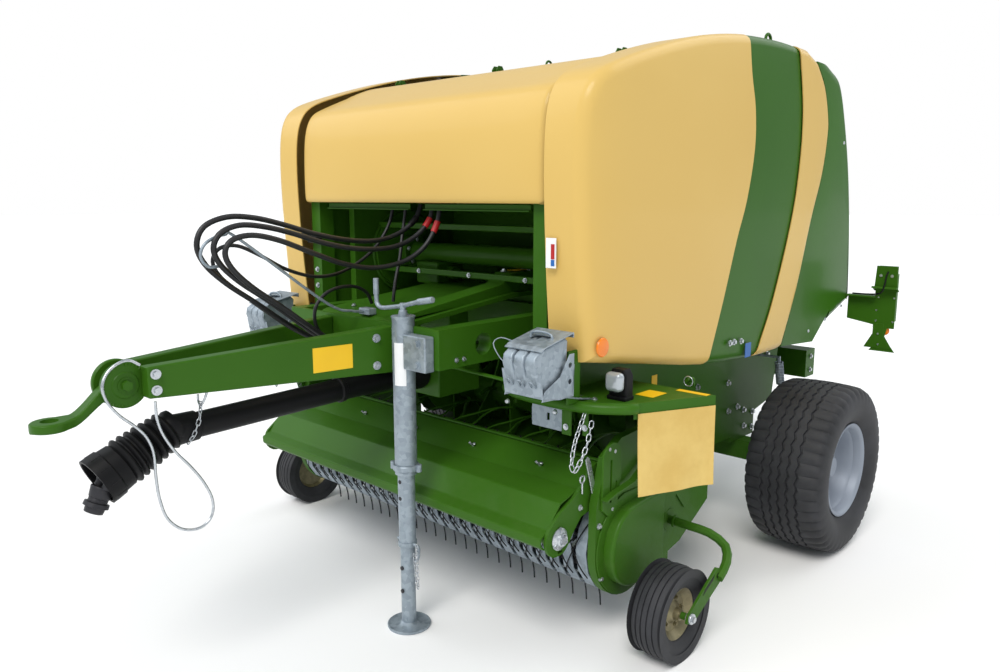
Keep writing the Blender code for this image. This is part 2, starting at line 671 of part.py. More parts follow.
def gauge_arm(side, parent):
    """Bent tube from the pickup's side plate and the fork plate that carries the gauge wheel."""
    name = both_sides(side)
    points = [(1.0048, -1.10, 0.40), (1.05, -1.10, 0.40), (1.12, -1.112, 0.404), (1.20, -1.10, 0.395),
              (1.275, -1.10, 0.36),
              (1.308, -1.15, 0.315), (1.314, -1.22, 0.275)]
    piece = tube(f"gauge_arm_{name}", [(side * x, y, z) for x, y, z in points], 0.019, smooth=2)
    fork = [(GAUGE_Y - 0.028, GAUGE_R - 0.012), (GAUGE_Y - 0.018, GAUGE_R + 0.018), (-1.235, 0.325),
            (-1.19, 0.305),
            (-1.20, 0.255), (GAUGE_Y + 0.018, GAUGE_R - 0.028)]
    join(piece,
         plate("fork", [fork], *span(side, 1.302, 1.312)),
         rod("axle_bolt", (side * 1.2525, GAUGE_Y, GAUGE_R), (side * 1.318, GAUGE_Y, GAUGE_R), 0.014,
             sides=12))
    finish(piece, GREEN, parent)


# ---- covers -------------------------------------------------------------------------------
def hood(parent):
    profile = [(-1.665, 1.731), (-1.683, 1.735), (-1.686, 1.85), (-1.682, 2.0), (-1.668, 2.10),
               (-1.632, 2.155),
               (-1.55, 2.195), (-1.295, 2.303), (-1.115, 2.330)]
    piece = folded_sheet("hood", list(reversed(profile)), -HOOD_X, HOOD_X, 0.012)
    finish(piece, BEIGE, parent)


def panel_outline():
    return PANEL_FRONT + PANEL_TOP + PANEL_SEAM + PANEL_BOTTOM


def side_panel(side, parent):
    """A dished cover: outer skin with its returns at the front, top and rear, rounded at the edge."""
    name = both_sides(side)
    outline = panel_outline()
    piece = plate(f"side_panel_{name}", [outline], *span(side, PANEL_IN_X, BODY_X))
    rounding = piece.modifiers.new("rounding", "BEVEL")
    rounding.width = 0.03
    rounding.segments = 2
    rounding.limit_method = "ANGLE"
    rounding.angle_limit = radians(60)
    inner = BODY_X - 0.022
    hollow = plate("panel_hollow", [inset(outline, 0.022)], *span(side, 0.70, inner))
    seam = [(y, z) for y, z in PANEL_SEAM if 1.0 < z < 2.4]
    open_rear = plate("open_rear", [[(y - 0.04, z) for y, z in seam] + [(0.5, 1.29), (0.5, 2.32)]],
                      *span(side, 0.70, inner))
    cut(piece, hollow, open_rear)
    finish(piece, BEIGE, parent)


def tailgate(parent):
    """Rear half of the chamber: side walls, curved wall, lower beam and hinge arms, in one frame."""
    outer = CHAMBER_R + 0.03
    rear = arc(CHAMBER, outer + 0.012, 60, -40, 8)
    wall = ([(GATE_FRONT_Y, 0.72), (GATE_FRONT_Y, 2.355), (0.44, 2.355)] + rear
            + [(0.74, 0.90), (0.74, 0.705), (0.58, 0.69), (0.14, 0.69)])
    shell_arc = arc(CHAMBER, CHAMBER_R + 0.02, 82, -77, 22) + arc(CHAMBER, CHAMBER_R, -77, 82, 22)
    piece = plate("tailgate_frame", [shell_arc], -0.63, 0.63)
    for side in (1, -1):
        join(piece,
             plate("gate_wall", [wall], *span(side, *WALL_X)),
             box("arm_block", (span(side, 0.64, 0.69)[0], 0.05, 2.285), (span(side, 0.64, 0.69)[1],
                     0.29, 2.35)),
             plate("gate_arm", [[(-0.14, 2.39), (-0.14, 2.45), (-0.06, 2.455), (0.12, 2.38),
                                 (0.30, 2.352),
                                 (0.30, 2.28), (0.04, 2.28), (0.02, 2.36), (-0.06, 2.385)]],
                   *span(side, 0.662, 0.70)))
    join(piece,
         box("lower_beam", (-0.86, 0.60, 0.72), (0.86, 0.72, 0.88)),
         box("top_rail", (-0.62, 0.30, 2.26), (0.62, 0.41, 2.35)),
         box("top_sheet", (-0.645, 0.02, 2.342), (0.645, 0.43, 2.366)))
    finish(piece, GREEN, parent)

    seam = [(y + 0.012, z) for y, z in PANEL_SEAM]
    outline = [(seam[0][0], 2.43)] + GATE_REAR + [(0.36, 0.978), (0.15, 0.995)] + seam[:0:-1]
    cover = plate("tailgate_cover", [outline], -0.985, 0.985)
    rounding = cover.modifiers.new("rounding", "BEVEL")
    rounding.width = 0.05
    rounding.segments = 2
    rounding.limit_method = "ANGLE"
    rounding.angle_limit = radians(60)
    hollow = ([(-0.5, 2.412)] + [(y - 0.02, z - 0.018) for y, z in GATE_REAR] + [(0.872, 1.05),
            (0.872, 0.8),
              (-0.5, 0.8)])
    cut(cover, plate("gate_hollow", [hollow], -0.965, 0.965))
    finish(cover, GREEN, parent)


def light_bracket(side, parent):
    name = both_sides(side)
    x0, x1 = 0.9855, 1.14
    arm = [(side * x0, 1.06), (side * x0, 1.20), (side * x1, 1.205), (side * x1, 1.035)]
    lamp = [(1.135, 1.02), (1.135, 1.345), (1.15, 1.345), (1.15, 1.375), (1.25, 1.375), (1.25, 1.02)]
    bow = [(1.175, 1.03), (1.215, 1.03), (1.20, 0.965), (1.262, 0.885), (1.12, 0.885), (1.185, 0.965)]
    piece = plate(f"light_bracket_{name}", [arm], 0.842, 0.850, "Y")
    for shape in (lamp, bow):
        join(piece, plate("lamp_plate", [[(side * x, z) for x, z in shape]], 0.842, 0.850, "Y"))
    join(piece,
         box("top_flange", (span(side, x0, 1.145)[0], 0.80, 1.195), (span(side, x0, 1.145)[1], 0.85,
                 1.203)),
         box("lamp", (span(side, 1.155, 1.245)[0], 0.845, 1.06), (span(side, 1.155, 1.245)[1], 0.885,
                 1.33)))
    finish(piece, GREEN, parent)


# ---- platform, lamps and small gear -------------------------------------------------------
def platform(side, machine):
    """Corner platform over the gauge wheel with its bow tube, bolted to the frame plate."""
    name = both_sides(side)
    low, high = PLATFORM_Z
    top = [(0.7804, -1.49), (0.7804, -1.20), (1.244, -1.20), (1.10, -1.515), (1.03, -1.60), (0.80,
            -1.60)]
    piece = plate(f"platform_{name}", [[(side * x, y) for x, y in top]], low, high, "Z")
    bow = [(0.52, -1.42, 0.988), (0.505, -1.52, 0.988), (0.53, -1.60, 0.988), (0.62, -1.645, 0.988),
           (0.757, -1.662, 0.988), (0.90, -1.655, 0.988), (1.00, -1.625, 0.988), (1.09, -1.56, 0.988)]
    join(piece,
         tube("bow", [(side * x, y, z) for x, y, z in bow], 0.021, smooth=2),
         box("bow_foot", (span(side, 0.44, 0.53)[0], -1.47, 0.98), (span(side, 0.44, 0.53)[1], -1.40,
                 1.1046)),
         plate("foot_tie", [[(side * x, y) for x, y in ((0.80, -1.665), (0.80, -1.55), (1.02, -1.55),
                                                        (1.02, -1.61))]],
               low - 0.006, high, "Z"))
    lip_a, lip_b = Vector((1.10, -1.515, 0)), Vector((1.244, -1.20, 0))
    out = Vector((0.909, -0.416, 0)) * 0.006
    corners = [lip_a + out, lip_b + out, lip_b - out, lip_a - out]
    join(piece, plate("lip", [[(side * c.x, c.y) for c in corners]], 0.952, high, "Z"))
    finish(piece, GREEN, machine)


def flap(side, machine):
    name = both_sides(side)
    start, end = Vector((1.109, -1.515, 0)), Vector((1.253, -1.20, 0))
    out = Vector((0.909, -0.416, 0)) * 0.004
    base = Vector((0.909, -0.416, 0)) * 0.0018
    corners = [start + base, start + base + out, end + base + out, end + base]
    piece = plate(f"flap_{name}", [[(side * c.x, c.y) for c in corners]], 0.648, 0.965, "Z")
    finish(piece, FLAP, machine)


def chock(side, machine):
    """Wheel chock standing in its folded holder on the platform."""
    name = both_sides(side)
    low, high = span(side, 0.80, 0.96)
    wedge = [(-1.735, 1.06), (-1.735, 1.27), (-1.86, 1.255), (-1.93, 1.185), (-1.88, 1.06)]
    piece = plate(f"wheel_chock_{name}", [wedge], low, high)
    holder = [(-1.715, PLATFORM_Z[1] + 0.012), (-1.715, 1.15), (-1.742, 1.15), (-1.90, 1.075),
              (-1.90, PLATFORM_Z[1] + 0.03), (-1.80, PLATFORM_Z[1] + 0.012)]
    base = PLATFORM_Z[1] + GAP
    foot = [(-1.57, base), (-1.57, base + 0.012), (-1.63, base + 0.022), (-1.75, base + 0.036),
            (-1.75, base + 0.012), (-1.63, base + 0.010)]
    join(piece,
         plate("holder", [holder], low - 0.006, high + 0.006),
         plate("foot", [foot], low + 0.02, high - 0.02))
    finish(piece, ZINC, machine)


def front_lamp(side, machine):
    name = both_sides(side)
    x, y, base = side * 1.02, -1.50, PLATFORM_Z[1] + GAP
    piece = box(f"front_lamp_{name}", (x - 0.035, y - 0.03, base), (x + 0.035, y + 0.03, base + 0.055))
    join(piece,
         rod("lamp_head", (x, y - 0.055, base + 0.076), (x, y + 0.025, base + 0.076), 0.036, sides=20))
    finish(piece, LENS, machine)


def small_gear(machine):
    """Steel hose rod, the hoses it holds up, and the safety cable of the hitch."""
    rod_points = [(0.01, -1.97, 1.29), (0.0, -2.10, 1.335), (0.0, -2.47, 1.605), (0.0, -2.53, 1.625),
                  (0.0, -2.60, 1.60), (0.0, -2.625, 1.555), (0.0, -2.60, 1.515), (0.0, -2.555, 1.513)]
    holder = tube("hose_holder", rod_points, 0.006, sides=2)
    join(holder, box("holder_foot", (-0.02, BAR_MID_Y + 0.0204, 1.2728),
                     (0.05, BAR_MID_Y + 0.06, 1.30)),
         tube("holder_leg", [(0.01, BAR_MID_Y + 0.04, 1.285), (0.01, -1.97, 1.29)], 0.006, sides=2))
    finish(holder, ZINC, machine)
    for index, route in enumerate(HOSE_ROUTES, 1):
        radius = HOSE_R if index <= THICK_HOSES else THIN_HOSE_R
        piece = tube(f"hose_{index}", route, radius, smooth=2, sides=2)
        finish(piece, HOSE, machine)
    cable = tube("safety_cable", CABLE_ROUTE, CABLE_R, smooth=2, sides=2)
    finish(cable, ZINC, machine)


HOSE_R = 0.0105
THIN_HOSE_R = 0.0075
THICK_HOSES = 3
CABLE_R = 0.005
HOSE_ROUTES = [
    [(0.06, -1.575, 1.725), (0.06, -1.60, 1.655), (0.05, -1.68, 1.585), (0.04, -1.80, 1.548), (0.03,
            -1.965, 1.550),
     (0.02, -2.12, 1.580), (0.02, -2.26, 1.622), (0.02, -2.38, 1.650), (0.02, -2.48, 1.658), (0.02,
             -2.555, 1.632),
     (0.02, -2.585, 1.58), (0.02, -2.562, 1.52), (0.02, -2.49, 1.452), (0.01, -2.38, 1.378), (0.0,
             -2.262, 1.292),
     (-0.01, -2.15, 1.212), (-0.01, -2.05, 1.165), (-0.01, -1.952, 1.15)],
    [(0.11, -1.575, 1.725), (0.11, -1.60, 1.64), (0.10, -1.66, 1.55), (0.08, -1.76, 1.49), (0.06,
            -1.90, 1.47),
     (0.05, -2.05, 1.495), (0.05, -2.20, 1.548), (0.05, -2.34, 1.60), (0.05, -2.45, 1.622), (0.05,
             -2.53, 1.606),
     (0.05, -2.558, 1.56), (0.05, -2.53, 1.50), (0.045, -2.45, 1.428), (0.04, -2.34, 1.352), (0.04,
             -2.23, 1.27),
     (0.04, -2.13, 1.20), (0.04, -2.04, 1.16), (0.04, -1.952, 1.15)],
    [(-0.02, -1.575, 1.725), (-0.02, -1.61, 1.66), (-0.03, -1.70, 1.60), (-0.03, -1.83, 1.575),
     (-0.03, -1.98, 1.585),
     (-0.03, -2.13, 1.615), (-0.03, -2.27, 1.655), (-0.03, -2.39, 1.682), (-0.03, -2.50,
             1.687), (-0.03, -2.59, 1.655),
     (-0.03, -2.622, 1.59), (-0.03, -2.595, 1.52), (-0.035, -2.515, 1.445), (-0.04, -2.40, 1.365),
     (-0.05, -2.28, 1.28), (-0.06, -2.16, 1.205), (-0.06, -2.05, 1.162), (-0.06, -1.952, 1.15)],
    [(-0.12, -1.575, 1.725), (-0.12, -1.585, 1.66), (-0.105, -1.615, 1.575), (-0.08, -1.65, 1.49),
     (-0.06, -1.69, 1.41), (-0.05, -1.712, 1.345), (-0.05, -1.718, 1.302)],
    [(-0.10, -1.952, 1.158), (-0.10, -2.015, 1.165), (-0.10, -2.07, 1.200), (-0.10, -2.095, 1.255),
     (-0.10, -2.085, 1.315), (-0.10, -2.035, 1.362), (-0.10, -1.965, 1.382), (-0.10, -1.885, 1.378),
     (-0.10, -1.825, 1.348), (-0.10, -1.797, 1.298)],
    [(-0.21, -1.575, 1.725), (-0.21, -1.60, 1.64), (-0.20, -1.68, 1.545), (-0.18, -1.80, 1.475),
     (-0.15, -1.94, 1.435), (-0.12, -2.08, 1.435), (-0.10, -2.22, 1.475), (-0.08, -2.34, 1.535),
     (-0.075, -2.44, 1.578), (-0.07, -2.515, 1.572), (-0.07, -2.545, 1.525), (-0.07, -2.515, 1.465),
     (-0.075, -2.43, 1.395), (-0.08, -2.33, 1.318), (-0.085, -2.22, 1.24), (-0.09, -2.12, 1.185),
     (-0.085, -2.03, 1.148), (-0.085, -1.952, 1.130)],
]
CABLE_ROUTE = [(0.085, -2.90, 1.214), (0.075, -2.93, 1.2325), (0.07, -2.965, 1.226), (0.07, -3.00,
        1.20),
               (0.075, -3.02, 1.16), (0.08, -3.012, 1.11), (0.085, -2.98, 1.06), (0.09, -2.935,
                       1.015), (0.092, -2.90, 0.97),
               (0.092, -2.88, 0.91), (0.092, -2.878, 0.83), (0.092, -2.872, 0.75), (0.092, -2.85, 0.67),
               (0.092, -2.80, 0.615), (0.092, -2.735, 0.600), (0.092, -2.69, 0.63), (0.092, -2.683,
                       0.69),
               (0.092, -2.71, 0.76), (0.096, -2.755, 0.83), (0.104, -2.81, 0.90), (0.108, -2.85,
                       0.97), (0.111, -2.868, 1.03),
               (0.111, -2.87, 1.09)]


# ---- assembly -----------------------------------------------------------------------------
def build():
    clear_scene()
    machine = empty_at("machine", (0, AXLE_Y, 0))
    machine["machine_place"] = (0, 0, 0)

    def axis_empty(name, place, parent=machine):
        return empty_at(name, place, parent)

    pickup_axis = axis_empty("pickup_axis", (0, *PICKUP_PIVOT))
    gate_axis = axis_empty("tailgate_axis", (0, *GATE_HINGE))
    rotor_axis = axis_empty("rotor_axis", (0, *PICKUP_PIVOT))
    reel_axis = axis_empty("reel_axis", (0, *REEL), pickup_axis)
    guard_axis = axis_empty("guard_axis", (0, *GUARD_PIVOT), pickup_axis)
    hood_axis = axis_empty("hood_axis", (0, *HOOD_HINGE))
    leg_axis = axis_empty("jack_axis", (*JACK, 0))
    yoke_axis = axis_empty("pto_axis", (0, *PTO_MOUTH))

    for side in (1, -1):
        name = both_sides(side)
        main_wheel(side, axis_empty(f"wheel_axis_{name}", (side * WHEEL_X, 0, WHEEL_R)))
        gauge_wheel(side, axis_empty(f"gauge_axis_{name}", (side * GAUGE_X, GAUGE_Y, GAUGE_R),
                                     pickup_axis))
        side_panel(side, axis_empty(f"panel_axis_{name}", (side * PANEL_HINGE[0], 0, PANEL_HINGE[1])))
        side_frame(side, machine)
        drawbar_beam(side, machine)
        platform(side, machine)
        flap(side, machine)
        chock(side, machine)
        front_lamp(side, machine)
        gauge_arm(side, pickup_axis)
        light_bracket(side, gate_axis)

    chamber_shell(machine)
    roof(machine)
    front_frame(machine)
    net_brake(machine)
    axle(machine)
    drawbar_frame(machine)
    hitch(machine)
    jack(machine, leg_axis)
    pto_shaft(machine, yoke_axis)
    feed_rotor(rotor_axis)
    pickup_frame(pickup_axis)
    stripper_bands(pickup_axis)
    tine_reel(reel_axis)
    crop_guard(guard_axis)
    hood(hood_axis)
    tailgate(gate_axis)
    small_gear(machine)


build()
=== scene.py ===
from math import atan2, cos, pi, radians, sin

import bpy
from mathutils import Matrix, Vector


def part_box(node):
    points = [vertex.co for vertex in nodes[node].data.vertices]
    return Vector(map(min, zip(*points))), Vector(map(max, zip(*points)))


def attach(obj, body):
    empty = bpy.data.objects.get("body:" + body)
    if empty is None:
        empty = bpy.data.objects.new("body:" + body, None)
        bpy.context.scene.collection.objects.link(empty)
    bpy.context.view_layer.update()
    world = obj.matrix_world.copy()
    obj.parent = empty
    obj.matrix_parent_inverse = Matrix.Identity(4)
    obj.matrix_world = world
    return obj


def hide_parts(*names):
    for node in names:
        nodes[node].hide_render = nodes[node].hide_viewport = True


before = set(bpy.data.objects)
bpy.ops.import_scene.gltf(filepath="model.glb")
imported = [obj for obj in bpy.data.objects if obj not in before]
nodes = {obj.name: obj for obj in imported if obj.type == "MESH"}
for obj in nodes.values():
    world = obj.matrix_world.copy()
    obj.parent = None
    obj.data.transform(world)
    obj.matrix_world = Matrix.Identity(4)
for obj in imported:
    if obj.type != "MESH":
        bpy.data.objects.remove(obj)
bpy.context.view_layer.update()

tyreLow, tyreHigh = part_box("tyre_left")
# every number below is measured from the axle, so it is added last
axleY = (tyreLow.y + tyreHigh.y) / 2
axleZ = (tyreLow.z + tyreHigh.z) / 2


# ---------- small modelling helpers ----------
def clearSelection():
    if bpy.context.object and bpy.context.object.mode != "OBJECT":
        bpy.ops.object.mode_set(mode="OBJECT")
    bpy.ops.object.select_all(action="DESELECT")


def onlySelect(*objs):
    clearSelection()
    for obj in objs:
        obj.select_set(True)
    bpy.context.view_layer.objects.active = objs[0]


def openFaces(piece, test):                # leaves edit mode on, with the chosen faces selected
    onlySelect(piece)
    bpy.ops.object.mode_set(mode="EDIT")
    bpy.ops.mesh.select_mode(type="FACE")
    bpy.ops.mesh.select_all(action="DESELECT")
    bpy.ops.object.mode_set(mode="OBJECT")
    for face in piece.data.polygons:
        face.select = test(face.center, face.normal)
    bpy.ops.object.mode_set(mode="EDIT")


def openEdges(piece, test):
    onlySelect(piece)
    bpy.ops.object.mode_set(mode="EDIT")
    bpy.ops.mesh.select_mode(type="EDGE")
    bpy.ops.mesh.select_all(action="DESELECT")
    bpy.ops.object.mode_set(mode="OBJECT")
    corners = piece.data.vertices
    for edge in piece.data.edges:
        edge.select = test(corners[edge.vertices[0]].co, corners[edge.vertices[1]].co)
    bpy.ops.object.mode_set(mode="EDIT")


def closeMesh():
    bpy.ops.object.mode_set(mode="OBJECT")


def roundOpened(size, segments=2, profile=0.5):   # rounds what openFaces or openEdges selected
    bpy.ops.mesh.bevel(offset=size, segments=segments, profile=profile, affect="EDGES")
    closeMesh()


def deleteOpened():
    bpy.ops.mesh.delete(type="FACE")
    closeMesh()


def applyAll(piece):
    onlySelect(piece)
    for step in list(piece.modifiers):
        bpy.ops.object.modifier_apply(modifier=step.name)


def settle(piece):                         # place, turn and scale go into the mesh
    onlySelect(piece)
    bpy.ops.object.transform_apply(location=True, rotation=True, scale=True)
    return piece


def addBox(lowCorner, highCorner, rounding=0.0, segments=2):
    clearSelection()
    lowCorner, highCorner = Vector(lowCorner), Vector(highCorner)
    bpy.ops.mesh.primitive_cube_add(size=1, location=(lowCorner + highCorner) / 2)
    piece = bpy.context.object
    piece.scale = highCorner - lowCorner
    settle(piece)
    if rounding:
        openFaces(piece, lambda c, n: True)
        roundOpened(rounding, segments)
    return piece


def addRod(start, end, radius, endRadius=None, sides=24, rounding=0.0):
    clearSelection()
    start, end = Vector(start), Vector(end)
    along = end - start
    bpy.ops.mesh.primitive_cone_add(vertices=sides, radius1=radius, depth=along.length,
                                    radius2=radius if endRadius is None else endRadius,
                                    location=(start + end) / 2,
                                    rotation=along.to_track_quat("Z", "Y").to_euler())
    piece = settle(bpy.context.object)
    if rounding:
        direction = along.normalized()
        openFaces(piece, lambda c, n: abs(n.dot(direction)) > 0.9)
        roundOpened(rounding)
    piece.data.shade_smooth()
    onlySelect(piece)
    bpy.ops.object.shade_smooth_by_angle(angle=radians(40))
    return piece


def addBolt(spot, direction, radius=0.011, height=0.009):   # hexagon head on a washer
    spot, direction = Vector(spot), Vector(direction).normalized()
    washer = addRod(spot - direction * 0.001, spot + direction * 0.003, radius * 1.45, sides=16)
    head = addRod(spot, spot + direction * (0.003 + height), radius, radius * 0.94, sides=6)
    return joinAll([washer, head])


def smoothRoute(points, steps):
    knots = [Vector(p) for p in points]
    knots = [knots[0] * 2 - knots[1]] + knots + [knots[-1] * 2 - knots[-2]]
    route = []
    for a, b, c, d in zip(knots, knots[1:], knots[2:], knots[3:]):
        for step in range(steps):
            t = step / steps
            route.append(0.5 * (2 * b + (c - a) * t + (2 * a - 5 * b + 4 * c - d) * t ** 2
                                + (3 * b - a - 3 * c + d) * t ** 3))
    return route + [knots[-2]]


def addTube(points, radius, smooth=0, sides=3, closed=False):
    clearSelection()
    route = smoothRoute(points, smooth) if smooth else [Vector(p) for p in points]
    line = bpy.data.curves.new("tube", "CURVE")
    line.dimensions = "3D"
    line.bevel_depth = radius
    line.bevel_resolution = sides
    line.use_fill_caps = not closed
    spline = line.splines.new("POLY")
    spline.points.add(len(route) - 1)
    for point, spot in zip(spline.points, route):
        point.co = (*spot, 1)
    spline.use_cyclic_u = closed
    piece = bpy.data.objects.new("tube", line)
    bpy.context.collection.objects.link(piece)
    onlySelect(piece)
    bpy.ops.object.convert(target="MESH")
    piece = bpy.context.object
    piece.data.shade_smooth()
    return piece


# a drawn point (u, v) on its plane, w along the plane's normal
def flatPlace(plane, u, v, w):
    return {"X": (w, u, v), "Y": (u, w, v), "Z": (u, v, w)}[plane]


def addOutline(points, lowEnd, highEnd, plane="X", rounding=0.0, segments=2):
    clearSelection()
    line = bpy.data.curves.new("outline", "CURVE")
    line.dimensions = "3D"
    spline = line.splines.new("POLY")
    spline.points.add(len(points) - 1)
    for point, (u, v) in zip(spline.points, points):
        point.co = (*flatPlace(plane, u, v, lowEnd), 1)
    spline.use_cyclic_u = True
    piece = bpy.data.objects.new("outline", line)
    bpy.context.collection.objects.link(piece)
    onlySelect(piece)
    bpy.ops.object.convert(target="MESH")
    piece = bpy.context.object
    bpy.ops.object.mode_set(mode="EDIT")
    bpy.ops.mesh.select_all(action="SELECT")
    bpy.ops.mesh.edge_face_add()
    bpy.ops.mesh.extrude_region_move(
        TRANSFORM_OT_translate={"value": Vector(flatPlace(plane, 0, 0, highEnd - lowEnd))})
    bpy.ops.mesh.select_all(action="SELECT")
    bpy.ops.mesh.normals_make_consistent(inside=False)
    closeMesh()
    if rounding:
        axis = "XYZ".index(plane)

        def onEnd(a, b):
            return any(abs(a[axis] - w) < 1e-5 and abs(b[axis] - w) < 1e-5 for w in (lowEnd,
                                                                                     highEnd))
        openEdges(piece, onEnd)
        roundOpened(rounding, segments)
    return piece


def addLathe(profile, centre, steps=64, plane="X"):   # (along, radius) pairs, spun about a line
    clearSelection()
    line = bpy.data.meshes.new("lathe")
    alongX = [(w, centre[0], centre[1] + r) if plane == "X" else (centre[0], centre[1] + r,
                                                                  w) for w, r in profile]
    line.from_pydata(alongX, [(i, i + 1) for i in range(len(profile) - 1)], [])
    piece = bpy.data.objects.new("lathe", line)
    bpy.context.collection.objects.link(piece)
    onlySelect(piece)
    bpy.ops.object.mode_set(mode="EDIT")
    bpy.ops.mesh.select_all(action="SELECT")
    middle = (0, centre[0], centre[1]) if plane == "X" else (centre[0], centre[1], 0)
    bpy.ops.mesh.spin(steps=steps, angle=2 * pi, center=middle,
                      axis=(1, 0, 0) if plane == "X" else (0, 0, 1))
    bpy.ops.mesh.select_all(action="SELECT")
    bpy.ops.mesh.remove_doubles(threshold=0.0001)
    bpy.ops.mesh.normals_make_consistent(inside=False)
    closeMesh()
    piece.data.shade_smooth()
    bpy.ops.object.shade_smooth_by_angle(angle=radians(35))
    return piece


def joinAll(objs):
    onlySelect(*objs)
    if len(objs) > 1:
        bpy.ops.object.join()
    return bpy.context.object


def cutWith(piece, cutter, operation="DIFFERENCE", keepCutter=False):
    step = piece.modifiers.new("cut", "BOOLEAN")
    step.operation = operation
    step.solver = "EXACT"
    step.object = cutter
    applyAll(piece)
    if not keepCutter:
        bpy.data.objects.remove(cutter, do_unlink=True)
    return piece


def thicken(piece, thickness, offset=-1.0):
    step = piece.modifiers.new("wall", "SOLIDIFY")
    step.thickness = thickness
    step.offset = offset
    applyAll(piece)
    return piece


def smoothLook(piece, angle=35):
    onlySelect(piece)
    bpy.ops.object.shade_smooth_by_angle(angle=radians(angle))
    return piece


def copyOf(piece):
    twin = piece.copy()
    twin.data = piece.data.copy()
    bpy.context.collection.objects.link(twin)
    return twin


def mirrored(piece):                       # the same piece on the machine's other side
    twin = copyOf(piece)
    twin.data.transform(Matrix.Scale(-1, 4, (1, 0, 0)))
    onlySelect(twin)
    bpy.ops.object.mode_set(mode="EDIT")
    bpy.ops.mesh.select_all(action="SELECT")
    bpy.ops.mesh.flip_normals()
    closeMesh()
    return twin


def evenLook(piece):                       # large faces stay flat beside their rounded edges
    step = piece.modifiers.new("even", "WEIGHTED_NORMAL")
    step.keep_sharp = True
    applyAll(piece)


# names a finished piece and hangs it on its body
def hand(piece, name, body, finish, standsFor=()):
    settle(piece)
    if finish in ("green", "zinc", "black"):
        evenLook(piece)
    piece.data.transform(Matrix.Translation((0, axleY, 0)))
    piece.name = name
    piece.data.name = name
    piece.data.materials.clear()
    piece.data.materials.append(finishes[finish]["material"])
    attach(piece, body)
    if standsFor:
        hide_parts(*standsFor)
    return piece


def handBoth(piece, name, body, finish, node=None):   # the left piece and its mirror image
    other = mirrored(piece)
    for side, part in (("left", piece), ("right", other)):
        hand(part, f"{name}_{side}", body.format(side), finish, (f"{node}_{side}",) if node else ())


def arcPoints(centre, radius, start, stop, step):   # points on a circle, angles in degrees
    return [(centre[0] + radius * cos(radians(a)), centre[1] + radius * sin(radians(a)))
            for a in range(start, stop, step)]


def addBolts(spots, direction, radius, height):
    return [addBolt(spot, direction, radius, height) for spot in spots]


# ---------- shader wiring ----------
class Wire:
    def __init__(self, graph, socket):
        self.graph = graph
        self.socket = socket

    def maths(self, operation, other, swapped=False):
        pair = (other, self) if swapped else (self, other)
        return self.graph.add("ShaderNodeMath", {"operation": operation}, {0: pair[0], 1: pair[1]})

    def __add__(self, other):
        return self.maths("ADD", other)

    __radd__ = __add__

    def __sub__(self, other):
        return self.maths("SUBTRACT", other)

    def __rsub__(self, other):
        return self.maths("SUBTRACT", other, True)

    def __mul__(self, other):
        return self.maths("MULTIPLY", other)

    __rmul__ = __mul__

    def __truediv__(self, other):
        return self.maths("DIVIDE", other)

    def clamp(self):
        return self.graph.add("ShaderNodeMath", {"operation": "ADD", "use_clamp": True},
                              {0: self, 1: 0.0})

    def over(self, edge, width):           # 0 below the edge, 1 above it, with a soft step
        return self.graph.add("ShaderNodeMapRange", {"interpolation_type": "SMOOTHSTEP"},
                              {0: self, 1: edge - width, 2: edge + width})


class Graph:
    def __init__(self, material):
        self.tree = material.node_tree
        self.shader = self.tree.nodes["Principled BSDF"]
        self.spot = self.add("ShaderNodeTexCoord", {}, {}, "Object")

    def add(self, kind, settings, values, output=0):
        node = self.tree.nodes.new(kind)
        for key, value in settings.items():
            setattr(node, key, value)
        for key, value in values.items():
            self.feed(node.inputs[key], value)
        return Wire(self, node.outputs[output])

    def feed(self, socket, value):
        if isinstance(value, Wire):
            self.tree.links.new(value.socket, socket)
        else:
            socket.default_value = value

    def noise(self, scale, detail=3.0, roughness=0.5, stretch=(1, 1, 1)):
        where = self.spot
        if stretch != (1, 1, 1):
            where = self.add("ShaderNodeMapping", {}, {0: self.spot, 3: stretch})
        return self.add("ShaderNodeTexNoise", {}, {0: where, "Scale": scale, "Detail": detail,
                                                   "Roughness": roughness})

    def cells(self, scale):
        return self.add("ShaderNodeTexVoronoi", {}, {0: self.spot, "Scale": scale}, "Color")

    def blend(self, factor, first, second):
        return self.add("ShaderNodeMix", {"data_type": "RGBA"}, {0: factor, 6: first, 7: second}, 2)

    def height(self):
        return self.add("ShaderNodeSeparateXYZ", {}, {0: self.spot}, 2)

    def bump(self, height, strength, distance):
        return self.add("ShaderNodeBump", {}, {"Strength": strength, "Distance": distance,
                                               "Height": height})

    def give(self, **values):
        names = {"colour": "Base Color", "roughness": "Roughness", "metallic": "Metallic",
                 "coat": "Coat Weight", "coatRoughness": "Coat Roughness", "normal": "Normal",
                 "alpha": "Alpha", "specular": "Specular IOR Level"}
        for key, value in values.items():
            self.feed(self.shader.inputs[names[key]], value)


def linear(c):                             # one screen channel, 0 to 255, as linear light
    return c / 255 / 12.92 if c < 11 else ((c / 255 + 0.055) / 1.055) ** 2.4


def rgb(r, g, b):
    return linear(r), linear(g), linear(b), 1.0


